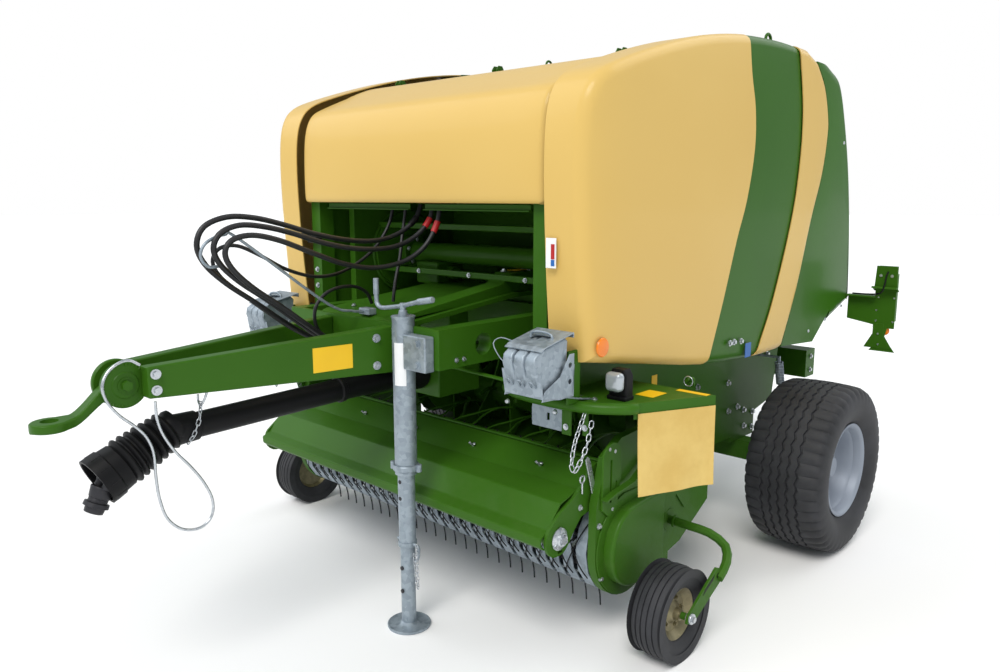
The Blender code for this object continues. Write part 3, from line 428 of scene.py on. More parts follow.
def paintFinish(graph, look):
    tone = graph.noise(look.get("toneScale", 1.6), 2.0)
    fine = graph.noise(34.0, 5.0, 0.7)
    colour = graph.blend(tone, look["dark"], look["light"])
    low = ((look["dustTop"] - graph.height()) * (1 / look["dustDepth"])).clamp()
    dustMask = low * fine.over(0.52, 0.16)
    colour = graph.blend(dustMask * look["dust"], colour, rgb(150, 140, 116))
    scuffs = graph.noise(9.0, 6.0, 0.75, (1, 1, 0.35)).over(0.71, 0.02)
    colour = graph.blend(scuffs * look.get("scuff", 0.2), colour, look["light"])
    peel = graph.noise(260.0, 1.0)
    graph.give(colour=colour, roughness=look["roughness"] + fine * 0.08 + dustMask * 0.3,
               metallic=0.0, coat=look["coat"], coatRoughness=0.06,
               specular=look.get("specular", 0.45),
               normal=graph.bump(peel, 0.04, 0.0008))


def rubberFinish(graph, look):
    fine = graph.noise(60.0, 6.0, 0.7)
    grime = graph.noise(5.0, 5.0, 0.65)
    colour = graph.blend(grime.over(0.52, 0.22), look["dark"], look["light"])
    graph.give(colour=colour, roughness=look["roughness"] + grime * 0.12,
               normal=graph.bump(fine, 0.18, 0.0015))


def zincFinish(graph, look):
    spangle = graph.cells(look.get("grain", 55.0))
    grey = graph.add("ShaderNodeSeparateColor", {}, {0: spangle}, 0)
    cloud = graph.noise(7.0, 5.0, 0.65)
    colour = graph.blend(grey * 0.45 + cloud * 0.5, look["dark"], look["light"])
    graph.give(colour=colour, roughness=look["roughness"] + grey * 0.14, metallic=look["metallic"],
               normal=graph.bump(cloud, 0.12, 0.001))


def plasticFinish(graph, look):
    grain = graph.noise(180.0, 3.0)
    cloud = graph.noise(6.0, 4.0)
    graph.give(colour=graph.blend(cloud, look["dark"], look["light"]),
               roughness=look["roughness"] + cloud * 0.12, metallic=look.get("metallic", 0.0),
               specular=look.get("specular", 0.5), normal=graph.bump(grain, 0.1, 0.0006))


finishes = {
    "green": {"slot": "green_paint", "make": paintFinish, "dark": rgb(44, 86, 14),
              "light": rgb(58, 104, 22),
              "roughness": 0.4, "coat": 0.05, "specular": 0.14, "dustTop": 0.8, "dustDepth": 0.8,
              "dust": 0.07},
    "greenCover": {"slot": "green_panel", "make": paintFinish, "dark": rgb(46, 90, 16),
                   "light": rgb(56, 104, 24),
                   "roughness": 0.3, "coat": 0.06, "specular": 0.1, "dustTop": 1.1,
                   "dustDepth": 0.6, "dust": 0.04},
    "stripe": {"slot": "green_panel", "make": paintFinish, "dark": rgb(46, 90, 18),
               "light": rgb(56, 102, 26),
               "roughness": 0.3, "coat": 0.06, "specular": 0.1, "dustTop": 1.1, "dustDepth": 0.5,
               "dust": 0.03},
    "beige": {"slot": "beige_panel", "make": paintFinish, "dark": rgb(209, 173, 94),
              "light": rgb(218, 185, 109), "scuff": 0.05,
              "roughness": 0.3, "coat": 0.1, "specular": 0.15, "dustTop": 1.2, "dustDepth": 0.4,
              "dust": 0.04,
              "toneScale": 1.1},
    "dark": {"slot": "dark_sheet", "make": paintFinish, "dark": rgb(24, 28, 34),
             "light": rgb(36, 42, 50),
             "roughness": 0.3, "coat": 0.4, "dustTop": 1.0, "dustDepth": 1.0, "dust": 0.1},
    "tyre": {"slot": "tyre_rubber", "make": rubberFinish, "dark": rgb(29, 30, 33),
             "light": rgb(49, 50, 54),
             "roughness": 0.62},
    "hose": {"slot": "hose_rubber", "make": rubberFinish, "dark": rgb(16, 16, 18),
             "light": rgb(30, 30, 33),
             "roughness": 0.42},
    "flap": {"slot": "flap_rubber", "make": rubberFinish, "dark": rgb(206, 172, 92),
             "light": rgb(220, 190, 112),
             "roughness": 0.6},
    "silver": {"slot": "rim_silver", "make": plasticFinish, "dark": rgb(128, 136, 148),
               "light": rgb(152, 160, 172),
               "roughness": 0.46, "metallic": 0.3},
    "zinc": {"slot": "galvanised", "make": zincFinish, "dark": rgb(118, 130, 140),
             "light": rgb(176, 188, 197),
             "roughness": 0.42, "metallic": 0.55},
    "bright": {"slot": "galvanised", "make": zincFinish, "dark": rgb(170, 176, 182),
               "light": rgb(214, 218, 222),
               "roughness": 0.24, "metallic": 0.85, "grain": 120.0},
    "black": {"slot": "black_plastic", "make": plasticFinish, "dark": rgb(9, 9, 10),
              "light": rgb(18, 18, 20),
              "roughness": 0.42, "specular": 0.2},
    "steel": {"slot": "dark_steel", "make": plasticFinish, "dark": rgb(30, 30, 33),
              "light": rgb(66, 66, 70),
              "roughness": 0.4, "metallic": 0.6},
    "red": {"slot": "hose_rubber", "make": plasticFinish, "dark": rgb(160, 18, 22),
            "light": rgb(186, 28, 30),
            "roughness": 0.4},
    "amber": {"slot": "lamp_lens", "make": plasticFinish, "dark": rgb(226, 110, 10),
              "light": rgb(246, 140, 24),
              "roughness": 0.16},
    "lens": {"slot": "lamp_lens", "make": plasticFinish, "dark": rgb(150, 157, 163),
             "light": rgb(190, 197, 202),
             "roughness": 0.06, "metallic": 0.35},
    "yellowLabel": {"slot": "beige_panel", "make": plasticFinish, "dark": rgb(236, 186, 8),
                    "light": rgb(248, 202, 20), "roughness": 0.35},
    "whiteLabel": {"slot": "rim_silver", "make": plasticFinish, "dark": rgb(226, 228, 230),
                   "light": rgb(240, 241, 242), "roughness": 0.4},
    "blueLabel": {"slot": "rim_silver", "make": plasticFinish, "dark": rgb(24, 88, 160),
                  "light": rgb(34, 104, 178),
                  "roughness": 0.4},
    "goldZinc": {"slot": "rim_silver", "make": zincFinish, "dark": rgb(112, 104, 78),
                 "light": rgb(158, 150, 118),
                 "roughness": 0.36, "metallic": 0.7},
}
for finishName, look in finishes.items():
    made = bpy.data.materials.new(finishName)
    made.use_nodes = True
    look["make"](Graph(made), look)
    look["material"] = made
print("stage: finishes ready", len(finishes))

# ---------- camera, floor and light ----------
view = {"spot": (2.744, -3.998, 1.760), "tilt": 80.287, "turn": 43.257, "lens": 29.297}
clearSelection()
bpy.ops.object.camera_add(location=(view["spot"][0], view["spot"][1] + axleY, view["spot"][2]),
                          rotation=(radians(view["tilt"]), 0, radians(view["turn"])))
camera = bpy.context.object
camera.data.lens = view["lens"]
camera.data.sensor_width = 36
camera.data.clip_start = 0.05
bpy.context.scene.camera = camera
bpy.context.scene.view_settings.view_transform = "Standard"   # colours as they are, not film-like

clearSelection()
bpy.ops.mesh.primitive_plane_add(size=160, location=(0, 0, -0.0005))
floor = bpy.context.object
floor.name = "floor"
paper = bpy.data.materials.new("paper")
paper.use_nodes = True
paperGraph = Graph(paper)
paperGraph.give(colour=(0.93, 0.93, 0.93, 1), roughness=0.9, specular=0.1)
floor.data.materials.append(paper)

lamps = [
    {"from": (0.34, -0.72, 0.95), "power": 2.0, "spread": 28, "colour": (1.0, 0.97, 0.93)},
    {"from": (-0.8, -0.5, 0.75), "power": 0.9, "spread": 50, "colour": (0.94, 0.97, 1.0)},
    {"from": (0.3, 0.9, 0.8), "power": 0.8, "spread": 50, "colour": (1.0, 1.0, 1.0)},
]
for lamp in lamps:
    clearSelection()
    bpy.ops.object.light_add(type="SUN", location=(0, 0, 6))
    light = bpy.context.object
    light.rotation_euler = Vector(lamp["from"]).to_track_quat("Z", "Y").to_euler()
    light.data.angle = radians(lamp["spread"])
    light.data.energy = lamp["power"]
    light.data.color = lamp["colour"]

sky = bpy.data.worlds.new("sky")
sky.use_nodes = True
bpy.context.scene.world = sky
skyTree = sky.node_tree
backdrop = skyTree.nodes["Background"]
backdrop.inputs["Color"].default_value = (0.90, 0.95, 1.0, 1)
backdrop.inputs["Strength"].default_value = 0.55
plain = skyTree.nodes.new("ShaderNodeBackground")
plain.inputs["Color"].default_value = (1, 1, 1, 1)
plain.inputs["Strength"].default_value = 1.0
pathKind = skyTree.nodes.new("ShaderNodeLightPath")
chooser = skyTree.nodes.new("ShaderNodeMixShader")
skyTree.links.new(pathKind.outputs["Is Camera Ray"], chooser.inputs[0])
skyTree.links.new(backdrop.outputs[0], chooser.inputs[1])
skyTree.links.new(plain.outputs[0], chooser.inputs[2])
skyTree.links.new(chooser.outputs[0], skyTree.nodes["World Output"].inputs[0])
print("stage: camera and light ready")

# ---------- hoses and the hitch cable ----------
hoses = {
    "radius": 0.0105, "thin": 0.0075, "thick": 3,
    "routes": [
        [(0.06, -1.575, 1.725), (0.06, -1.60, 1.655), (0.05, -1.68, 1.585), (0.04, -1.80, 1.548),
         (0.03, -1.965, 1.550), (0.02, -2.12, 1.580), (0.02, -2.26, 1.622), (0.02, -2.38, 1.650),
         (0.02, -2.48, 1.658), (0.02, -2.555, 1.632), (0.02, -2.585, 1.58), (0.02, -2.562, 1.52),
         (0.02, -2.49, 1.452), (0.01, -2.38, 1.378), (0.0, -2.262, 1.292), (-0.01, -2.15, 1.212),
         (-0.01, -2.05, 1.165), (-0.01, -1.952, 1.15)],
        [(0.11, -1.575, 1.725), (0.11, -1.60, 1.64), (0.10, -1.66, 1.55), (0.08, -1.76, 1.49),
         (0.06, -1.90, 1.47), (0.05, -2.05, 1.495), (0.05, -2.20, 1.548), (0.05, -2.34, 1.60),
         (0.05, -2.45, 1.622), (0.05, -2.53, 1.606), (0.05, -2.558, 1.56), (0.05, -2.53, 1.50),
         (0.045, -2.45, 1.428), (0.04, -2.34, 1.352), (0.04, -2.23, 1.27), (0.04, -2.13, 1.20),
         (0.04, -2.04, 1.16), (0.04, -1.952, 1.15)],
        [(-0.02, -1.575, 1.725), (-0.02, -1.61, 1.66), (-0.03, -1.70, 1.60), (-0.03, -1.83, 1.575),
         (-0.03, -1.98, 1.585), (-0.03, -2.13, 1.615), (-0.03, -2.27, 1.655), (-0.03, -2.39, 1.682),
         (-0.03, -2.50, 1.687), (-0.03, -2.59, 1.655), (-0.03, -2.622, 1.59), (-0.03, -2.595, 1.52),
         (-0.035, -2.515, 1.445), (-0.04, -2.40, 1.365), (-0.05, -2.28, 1.28),
         (-0.06, -2.16, 1.205),
         (-0.06, -2.05, 1.162), (-0.06, -1.952, 1.15)],
        [(-0.12, -1.575, 1.725), (-0.12, -1.585, 1.66), (-0.105, -1.615, 1.575),
         (-0.08, -1.65, 1.49),
         (-0.06, -1.69, 1.41), (-0.05, -1.712, 1.345), (-0.05, -1.718, 1.302)],
        [(-0.10, -1.952, 1.158), (-0.10, -2.015, 1.165), (-0.10, -2.07, 1.200),
         (-0.10, -2.095, 1.255),
         (-0.10, -2.085, 1.315), (-0.10, -2.035, 1.362), (-0.10, -1.965, 1.382),
         (-0.10, -1.885, 1.378),
         (-0.10, -1.825, 1.348), (-0.10, -1.797, 1.298)],
        [(-0.21, -1.575, 1.725), (-0.21, -1.60, 1.64), (-0.20, -1.68, 1.545), (-0.18, -1.80, 1.475),
         (-0.15, -1.94, 1.435), (-0.12, -2.08, 1.435), (-0.10, -2.22, 1.475), (-0.08, -2.34, 1.535),
         (-0.075, -2.44, 1.578), (-0.07, -2.515, 1.572), (-0.07, -2.545, 1.525),
         (-0.07, -2.515, 1.465),
         (-0.075, -2.43, 1.395), (-0.08, -2.33, 1.318), (-0.085, -2.22, 1.24),
         (-0.09, -2.12, 1.185),
         (-0.085, -2.03, 1.148), (-0.085, -1.952, 1.130)],
    ],
}
cable = {
    "radius": 0.005,
    "route": [(0.085, -2.90, 1.214), (0.075, -2.93, 1.2325), (0.07, -2.965, 1.226),
              (0.07, -3.00, 1.20),
              (0.075, -3.02, 1.16), (0.08, -3.012, 1.11), (0.085, -2.98, 1.06),
              (0.09, -2.935, 1.015),
              (0.092, -2.90, 0.97), (0.092, -2.88, 0.91), (0.092, -2.878, 0.83),
              (0.092, -2.872, 0.75),
              (0.092, -2.85, 0.67), (0.092, -2.80, 0.615), (0.092, -2.735, 0.600),
              (0.092, -2.69, 0.63),
              (0.092, -2.683, 0.69), (0.092, -2.71, 0.76), (0.096, -2.755, 0.83),
              (0.104, -2.81, 0.90),
              (0.108, -2.85, 0.97), (0.111, -2.868, 1.03), (0.111, -2.87, 1.09)],
}


def routeLength(route):
    return sum((b - a).length for a, b in zip(route, route[1:]))


def layCord(name, points, radius, finish, node):
    route = [p + Vector((0, axleY, 0)) for p in smoothRoute(points, 6)]
    piece = hand(addTube(points, radius, smooth=6, sides=4), name, "chassis", finish, (node,))
    tuple(route[0])
    round(routeLength(route), 3)
    return piece


for index, points in enumerate(hoses["routes"], 1):
    if index > hoses["thick"]:
        layCord(f"hose_run_{index}", points, hoses["thin"], "hose", f"hose_{index}")
        continue
    sleeve = hand(addTube(smoothRoute(points, 6)[5:9], hoses["radius"] * 1.3, sides=4),
                  f"hose_sleeve_{index}", "chassis", "black" if index == 3 else "red")
    layCord(f"hose_run_{index}", points, hoses["radius"], "hose", f"hose_{index}")
holder = [addTube([(0.01, -1.97, 1.29), (0.0, -2.10, 1.335), (0.0, -2.47, 1.605),
                   (0.0, -2.53, 1.625),
                   (0.0, -2.60, 1.60), (0.0, -2.625, 1.555), (0.0, -2.60, 1.515),
                   (0.0, -2.555, 1.513)],
                  0.0058, smooth=6, sides=3),
          addTube([(0.01, -1.91, 1.285), (0.01, -1.97, 1.29)], 0.0058, sides=3),
          addBox((-0.02, -1.9296, 1.2728), (0.05, -1.89, 1.30), 0.003)]
hand(joinAll(holder), "hose_rod", "chassis", "zinc", ("hose_holder",))
layCord("hitch_cable", cable["route"], cable["radius"], "bright", "safety_cable")
print("stage: hoses ready")

# ---------- the beige side covers with their green stripe ----------
sideCover = {
    "inner": 0.80, "outer": 1.0, "wall": 0.005, "edge": 0.045, "crown": 0.010, "stripeDepth": 0.010,
    "front": [(-1.655, 1.158), (-1.664, 1.26), (-1.682, 1.48), (-1.695, 1.70), (-1.700, 1.88),
              (-1.692, 2.03),
              (-1.664, 2.13), (-1.60, 2.20)],
    "top": [(-1.46, 2.258), (-1.20, 2.338), (-0.95, 2.40), (-0.70, 2.443), (-0.45, 2.468),
            (-0.18, 2.478),
            (0.06, 2.472)],
    "seam": [(0.19, 2.43), (0.30, 2.325), (0.365, 2.19), (0.38, 2.074), (0.335, 1.867),
             (0.228, 1.636),
             (0.10, 1.295), (-0.045, 1.005)],
    "bottom": [(-0.08, 0.996), (-0.356, 0.995), (-0.82, 1.027), (-1.30, 1.102), (-1.62, 1.153)],
    "stripeFront": [(-0.575, 2.52), (-0.535, 2.30), (-0.488, 2.146), (-0.48, 1.967),
                    (-0.533, 1.745),
                    (-0.61, 1.569), (-0.704, 1.307), (-0.80, 1.06), (-0.84, 0.96)],
    "stripeRear": [(-0.37, 0.94), (-0.30, 1.07), (-0.215, 1.213), (-0.13, 1.40), (-0.052, 1.597),
                   (0.0, 1.77),
                   (0.027, 1.939), (0.034, 2.06), (0.025, 2.20), (-0.01, 2.35), (-0.06, 2.53)],
}


def smoothOutline(points, steps=4):
    return [(p.x, p.y) for p in smoothRoute([(u, v, 0) for u, v in points], steps)]


def sliceAcross(piece, plane, start, end, step):   # gives a flat face the edges it needs to crown
    direction = {"Y": (0, 1, 0), "Z": (0, 0, 1), "X": (1, 0, 0)}[plane]
    count = int((end - start) / step)
    onlySelect(piece)
    bpy.ops.object.mode_set(mode="EDIT")
    for index in range(1, count):
        bpy.ops.mesh.select_all(action="SELECT")
        spot = Vector(direction) * (start + step * index)
        bpy.ops.mesh.bisect(plane_co=spot, plane_no=direction)
    closeMesh()


def makeSideCover():
    look = sideCover
    seam = smoothOutline(look["seam"])
    outline = smoothOutline(look["front"] + look["top"]) + seam + smoothOutline(look["bottom"], 3)
    piece = addOutline(outline, look["inner"], look["outer"])
    openEdges(piece, lambda a, b: a.x > look["outer"] - 1e-4 and b.x > look["outer"] - 1e-4)
    roundOpened(look["edge"], 6, 0.55)
    openFaces(piece, lambda c, n: n.x < -0.9)      # open at the back
    deleteOpened()
    rearFree = [p for p in seam if p[1] < 2.40]

    # no return along the seam, where the tailgate passes
    def onSeam(c, n):
        nearest = min(abs(c.y - u) + abs(c.z - v) for u, v in rearFree)
        return c.x < 0.93 and nearest < 0.03
    openFaces(piece, onSeam)
    deleteOpened()
    sliceAcross(piece, "Y", -1.70, 0.38, 0.10)
    sliceAcross(piece, "Z", 1.0, 2.48, 0.10)
    for corner in piece.data.vertices:             # the skin swells a little towards its middle
        across = max(0.0, 1 - ((corner.co.y + 0.66) / 1.1) ** 2)
        upward = max(0.0, 1 - ((corner.co.z - 1.74) / 0.8) ** 2)
        corner.co.x += look["crown"] * across * upward * (corner.co.x > 0.99)
        frontTurn = max(0.0, (-1.52 - corner.co.y) / 0.18)
        corner.co.x -= 0.03 * frontTurn ** 2 * (corner.co.x > 0.9)
    thicken(piece, look["wall"])
    band = smoothOutline(look["stripeFront"]) + smoothOutline(look["stripeRear"])
    prism = addOutline(band, 0.70, 1.10)
    stripe = cutWith(copyOf(piece), prism, "INTERSECT", keepCutter=True)
    cutWith(piece, prism)
    stripe.location.x = -look["stripeDepth"]
    settle(stripe)
    return smoothLook(piece, 30), smoothLook(stripe, 30)


coverSkin, coverStripe = makeSideCover()
handBoth(coverSkin, "side_cover", "side_panel_{}", "beige", "side_panel")
handBoth(coverStripe, "side_stripe", "side_panel_{}", "stripe")
print("stage: side covers ready")

# ---------- hood ----------
hoodShape = {
    "half": 0.781, "wall": 0.006, "edge": 0.03,
    "skin": [(-1.664, 1.7315), (-1.682, 1.742), (-1.686, 1.80), (-1.6845, 1.92), (-1.677, 2.03),
             (-1.657, 2.11),
             (-1.62, 2.160), (-1.55, 2.196), (-1.42, 2.250), (-1.295, 2.299), (-1.20, 2.322),
             (-1.112, 2.330)],
    "inside": [(-1.112, 2.26), (-1.30, 2.235), (-1.50, 2.15), (-1.585, 2.08), (-1.615, 1.98),
               (-1.62, 1.7315)],
}


def makeHood():
    look = hoodShape
    outline = smoothOutline(look["skin"]) + look["inside"]
    piece = addOutline(outline, -look["half"], look["half"])
    skinLine = smoothOutline(look["skin"])

    def outerRim(a, b):
        half = look["half"]
        if abs(abs(a.x) - half) > 1e-4 or abs(abs(b.x) - half) > 1e-4 or a.x * b.x < 0:
            return False
        return all(min(abs(p.y - u) + abs(p.z - v) for u, v in skinLine) < 1e-4 for p in (a, b))
    openEdges(piece, outerRim)
    roundOpened(look["edge"], 5)
    insideFaces = [Vector((0, u, v)) for u, v in look["inside"]]

    def innerFace(c, n):                           # the hood is a shell, open below and behind
        return abs(c.x) < 0.3 and n.dot(Vector((0, -0.5, 0.5))) < 0.2 and \
            any(abs(c.y - spot.y) + abs(c.z - spot.z) < 0.16 for spot in insideFaces) and n.y > -0.3
    openFaces(piece, innerFace)
    deleteOpened()
    sliceAcross(piece, "X", -look["half"], look["half"], 0.142)
    for corner in piece.data.vertices:
        corner.co.y += 0.006 * (corner.co.x / look["half"]) ** 2 * (corner.co.y < -1.4)
    thicken(piece, look["wall"])
    return smoothLook(piece, 30)


hand(makeHood(), "hood_shell", "hood", "beige", ("hood",))
print("stage: hood ready")

# ---------- tailgate cover ----------
gateCover = {
    "half": 0.985, "wall": 0.006, "edge": 0.085, "seamGap": 0.012,
    "rear": [(0.46, 2.43), (0.52, 2.41), (0.575, 2.365), (0.63, 2.28), (0.70, 2.125), (0.755, 1.98),
             (0.80, 1.83),
             (0.846, 1.63), (0.878, 1.43), (0.896, 1.27), (0.8995, 1.20), (0.893, 1.15)],
    "base": [(0.86, 1.135), (0.60, 1.052), (0.36, 0.980), (0.18, 0.992), (0.0, 1.004)],
}


def makeGateCover():
    look = gateCover
    seam = [(u + look["seamGap"], v) for u, v in smoothOutline(sideCover["seam"])]
    outline = smoothOutline(look["rear"]) + look["base"] + list(reversed(seam))
    piece = addOutline(outline, -look["half"], look["half"])
    rearLine = smoothOutline(look["rear"]) + [look["base"][0], look["base"][1]]

    def sideRim(a, b):
        if abs(abs(a.x) - look["half"]) > 1e-4 or a.x * b.x < 0 or abs(a.x - b.x) > 1e-4:
            return False
        return all(min(abs(p.y - u) + abs(p.z - v) for u, v in rearLine) < 1e-4 for p in (a, b))
    openEdges(piece, sideRim)
    roundOpened(look["edge"], 6)
    seamLine = [Vector((0, u, v)) for u, v in seam]

    def openSide(c, n):
        onFront = any(abs(c.y - s.y) + abs(c.z - s.z) < 0.05 for s in seamLine) and abs(c.x) < 0.5
        below = n.z < -0.85 and abs(c.x) < 0.5
        return onFront or below
    openFaces(piece, openSide)
    deleteOpened()
    sliceAcross(piece, "X", -look["half"], look["half"], 0.197)
    thicken(piece, look["wall"])
    return smoothLook(piece, 30)


hand(makeGateCover(), "tailgate_skin", "tailgate", "greenCover", ("tailgate_cover",))
print("stage: tailgate cover ready")

# ---------- wheels ----------
wheelLook = {
    "x": (tyreLow.x + tyreHigh.x) / 2, "radius": axleZ, "width": tyreHigh.x - tyreLow.x,
             "bead": 0.216,
    "sectors": 44, "zigzag": 0.0055, "grooves": (-0.085, -0.042, 0.0, 0.042, 0.085),
             "grooveDepth": 0.010,
}


def treadProfile(radius, width, bead, grooves, depth, grooveHalf):
    half = width / 2
    line = [(-half * 0.55, bead + 0.001), (-half * 0.66, bead + 0.004),
            (-half * 0.82, bead + 0.022),
            (-half * 0.95, bead + 0.06), (-half, bead + 0.10), (-half * 0.992, bead + 0.14),
            (-half * 0.955, radius - 0.035), (-half * 0.90, radius - 0.020),
            (-half * 0.78, radius - 0.008)]
    for spot in grooves:
        drop = 0.004 * (spot / half) ** 2 * 4
        line += [(spot - grooveHalf, radius - drop), (spot - grooveHalf * 0.6,
                                                      radius - depth - drop),
                 (spot + grooveHalf * 0.6, radius - depth - drop),
                 (spot + grooveHalf, radius - drop)]
    line += [(-w, r) for w, r in reversed(line[:9])]
    return line


def makeTyre():
    look = wheelLook
    profile = treadProfile(look["radius"], look["width"], look["bead"], look["grooves"],
                           look["grooveDepth"], 0.0065)
    inner = [(look["width"] * 0.27, look["bead"] + 0.001), (-look["width"] * 0.27,
                                                            look["bead"] + 0.001)]
    steps = look["sectors"] * 4
    piece = addLathe(profile + inner[1:], (0, axleZ), steps)
    for corner in piece.data.vertices:
        spot = corner.co
        radius = Vector((spot.y, spot.z - axleZ)).length
        turn = atan2(spot.z - axleZ, spot.y) / (2 * pi) * look["sectors"]
        phase = (turn % 1.0) * 4
        wave = (0, 1, 0, -1)[int(round(phase)) % 4]
        if radius > look["radius"] - 0.016 and abs(spot.x) < 0.12:
            spot.x += look["zigzag"] * wave
        shoulder = look["radius"] - 0.040 < radius < look["radius"] - 0.004 and abs(spot.x) > 0.14
        if shoulder and int(round(phase)) % 4 == 0:        # a notch between the shoulder blocks
            fall = 1 - 0.012 / radius
            spot.y *= fall
            spot.z = axleZ + (spot.z - axleZ) * fall
    piece.location.x = look["x"]
    return smoothLook(settle(piece), 28)


rimLook = {"nuts": 8, "nutCircle": 0.082}


def makeRim():
    x = wheelLook["x"]
    lip = [(0.122, 0.206), (0.132, 0.218), (0.138, 0.226), (0.134, 0.231), (0.126, 0.228),
           (0.122, 0.2165),
           (0.10, 0.2145), (-0.10, 0.2145), (-0.122, 0.2165), (-0.126, 0.228), (-0.134, 0.231),
           (-0.138, 0.226),
           (-0.122, 0.206), (-0.06, 0.196), (0.0, 0.178), (0.008, 0.170)]
    face = [(0.012, 0.150), (0.046, 0.128), (0.060, 0.112), (0.055, 0.100), (0.046, 0.094),
            (0.046, 0.062)]
    hub = [(0.060, 0.056), (0.088, 0.052), (0.096, 0.046), (0.098, 0.0001)]
    shell = addLathe([(w, r) for w, r in reversed(hub)] + list(reversed(face)) +
                     [(0.020, 0.168), (0.030, 0.176), (0.060, 0.184), (0.100, 0.196)] + lip,
                     (0, axleZ), 72)
    drum = addLathe([(-0.185, 0.0001), (-0.185, 0.05), (-0.02, 0.055), (-0.02, 0.12), (0.0, 0.13)],
                    (0, axleZ), 40)
    flange = addLathe([(0.112, 0.203), (0.150, 0.2105), (0.160, 0.218), (0.166, 0.2275),
                       (0.163, 0.234), (0.152, 0.231),
                       (0.142, 0.222), (0.112, 0.216), (0.112, 0.203)], (0, axleZ), 72)
    parts = [shell, drum, flange]
    for index in range(rimLook["nuts"]):
        turn = 2 * pi * (index + 0.5) / rimLook["nuts"]
        spot = (0.046, rimLook["nutCircle"] * cos(turn), axleZ + rimLook["nutCircle"] * sin(turn))
        parts.append(addBolt(spot, (1, 0, 0), 0.0105, 0.014))
        parts.append(addRod(spot, (spot[0] + 0.026, spot[1], spot[2]), 0.006, sides=10))
    for index in range(6):                          # ribs pressed into the disc
        turn = 2 * pi * index / 6
        near = (0.044, 0.118 * cos(turn), axleZ + 0.118 * sin(turn))
        far = (0.014, 0.160 * cos(turn), axleZ + 0.160 * sin(turn))
        parts.append(addRod(near, far, 0.012, 0.006, sides=10))
    parts.append(addRod((0.075, 0.03, axleZ + 0.180), (0.105, 0.03, axleZ + 0.178), 0.004, sides=8))
    piece = joinAll(parts)
    piece.location.x = x
    return smoothLook(settle(piece), 35)


handBoth(makeTyre(), "tyre_tread", "wheel_{}", "tyre", "tyre")
handBoth(makeRim(), "wheel_disc", "wheel_{}", "silver", "rim")

gauge = {"x": 1.217, "y": -1.42, "radius": 0.183, "width": 0.145}


def makeGaugeWheel():
    spot = (gauge["y"], gauge["radius"])
    grooves = (-0.036, -0.012, 0.012, 0.036)
    line = treadProfile(gauge["radius"], gauge["width"], 0.100, grooves, 0.006, 0.0035)
    line = [(w, min(r, gauge["radius"])) for w,
            r in line if not (0.12 < r < 0.125 and abs(w) < 0.05)]
    tyre = addLathe(line, spot, 72)
    disc = addLathe([(0.052, 0.0001), (0.052, 0.022), (0.030, 0.026), (0.016, 0.045),
                     (0.016, 0.075), (0.034, 0.092),
                     (0.044, 0.104), (0.048, 0.110), (0.044, 0.112), (0.034, 0.104),
                     (-0.034, 0.104),
                     (-0.044, 0.112), (-0.048, 0.110), (-0.044, 0.104), (-0.02, 0.09),
                     (-0.016, 0.0001)], spot, 48)
    extras = [addBolt((0.052, *spot), (1, 0, 0), 0.012, 0.010)]
    for index in range(5):
        turn = 2 * pi * index / 5
        place = (0.017, spot[0] + 0.058 * cos(turn), spot[1] + 0.058 * sin(turn))
        extras.append(addBolt(place, (1, 0, 0), 0.007, 0.006))
    return tyre, joinAll([disc] + extras)


gaugeTyre, gaugeDisc = makeGaugeWheel()
for piece in (gaugeTyre, gaugeDisc):
    piece.location.x = gauge["x"]
    settle(piece)
handBoth(smoothLook(gaugeTyre, 30), "gauge_tyre", "gauge_wheel_{}", "tyre", "gauge_wheel")
handBoth(gaugeDisc, "gauge_disc", "gauge_wheel_{}", "goldZinc")
print("stage: wheels ready")

# ---------- drawbar ----------
beamLook = {"frontY": -2.885, "rearY": -1.9504, "frontX": 0.075, "rearX": 0.205, "width": 0.055,
            "front": (1.098, 1.206), "rear": (1.062, 1.252), "edge": 0.007}


def makeBeam():
    look = beamLook
    outline = [(look["frontY"], look["front"][0]), (look["frontY"], look["front"][1]),
               (look["rearY"], look["rear"][1]), (look["rearY"], look["rear"][0])]
    piece = addOutline(outline, -look["width"] / 2, look["width"] / 2)
    openFaces(piece, lambda c, n: True)
    roundOpened(look["edge"], 3)
    spread = (look["rearX"] - look["frontX"]) / (look["rearY"] - look["frontY"])

    def follow(part):                              # the two beams part towards the rear
        settle(part)
        for corner in part.data.vertices:
            corner.co.x += look["frontX"] + (corner.co.y - look["frontY"]) * spread
        return part
    side = look["width"] / 2
    extras = addBolts([(side, -2.86, 1.125), (side, -2.86, 1.18), (side, -2.03, 1.10),
                       (side, -2.03, 1.21)],
                      (1, 0, 0), 0.012, 0.010)
    weld = addTube([(side * 0.9, look["rearY"] - 0.004, 1.07), (side * 0.9, look["rearY"] - 0.004,
                                                                1.245)], 0.005)
    label = addBox((side - 0.0006, -2.30, 1.105), (side + 0.0008, -2.135, 1.20), 0.0004, 1)
    return follow(smoothLook(piece, 30)), follow(joinAll(extras + [weld])), follow(label)


beam, beamBolts, beamLabel = makeBeam()
handBoth(beam, "drawbar_channel", "chassis", "green", "drawbar_beam")
handBoth(beamBolts, "drawbar_bolts", "chassis", "bright")
hand(beamLabel, "drawbar_blank_label", "chassis", "yellowLabel")

hitch = {"axis": (-2.936, 1.146), "disc": 0.078, "discX": (0.026, 0.0465), "teeth": 40,
         "eye": (-3.161, 1.045), "eyeRadius": 0.059, "hole": 0.0275}


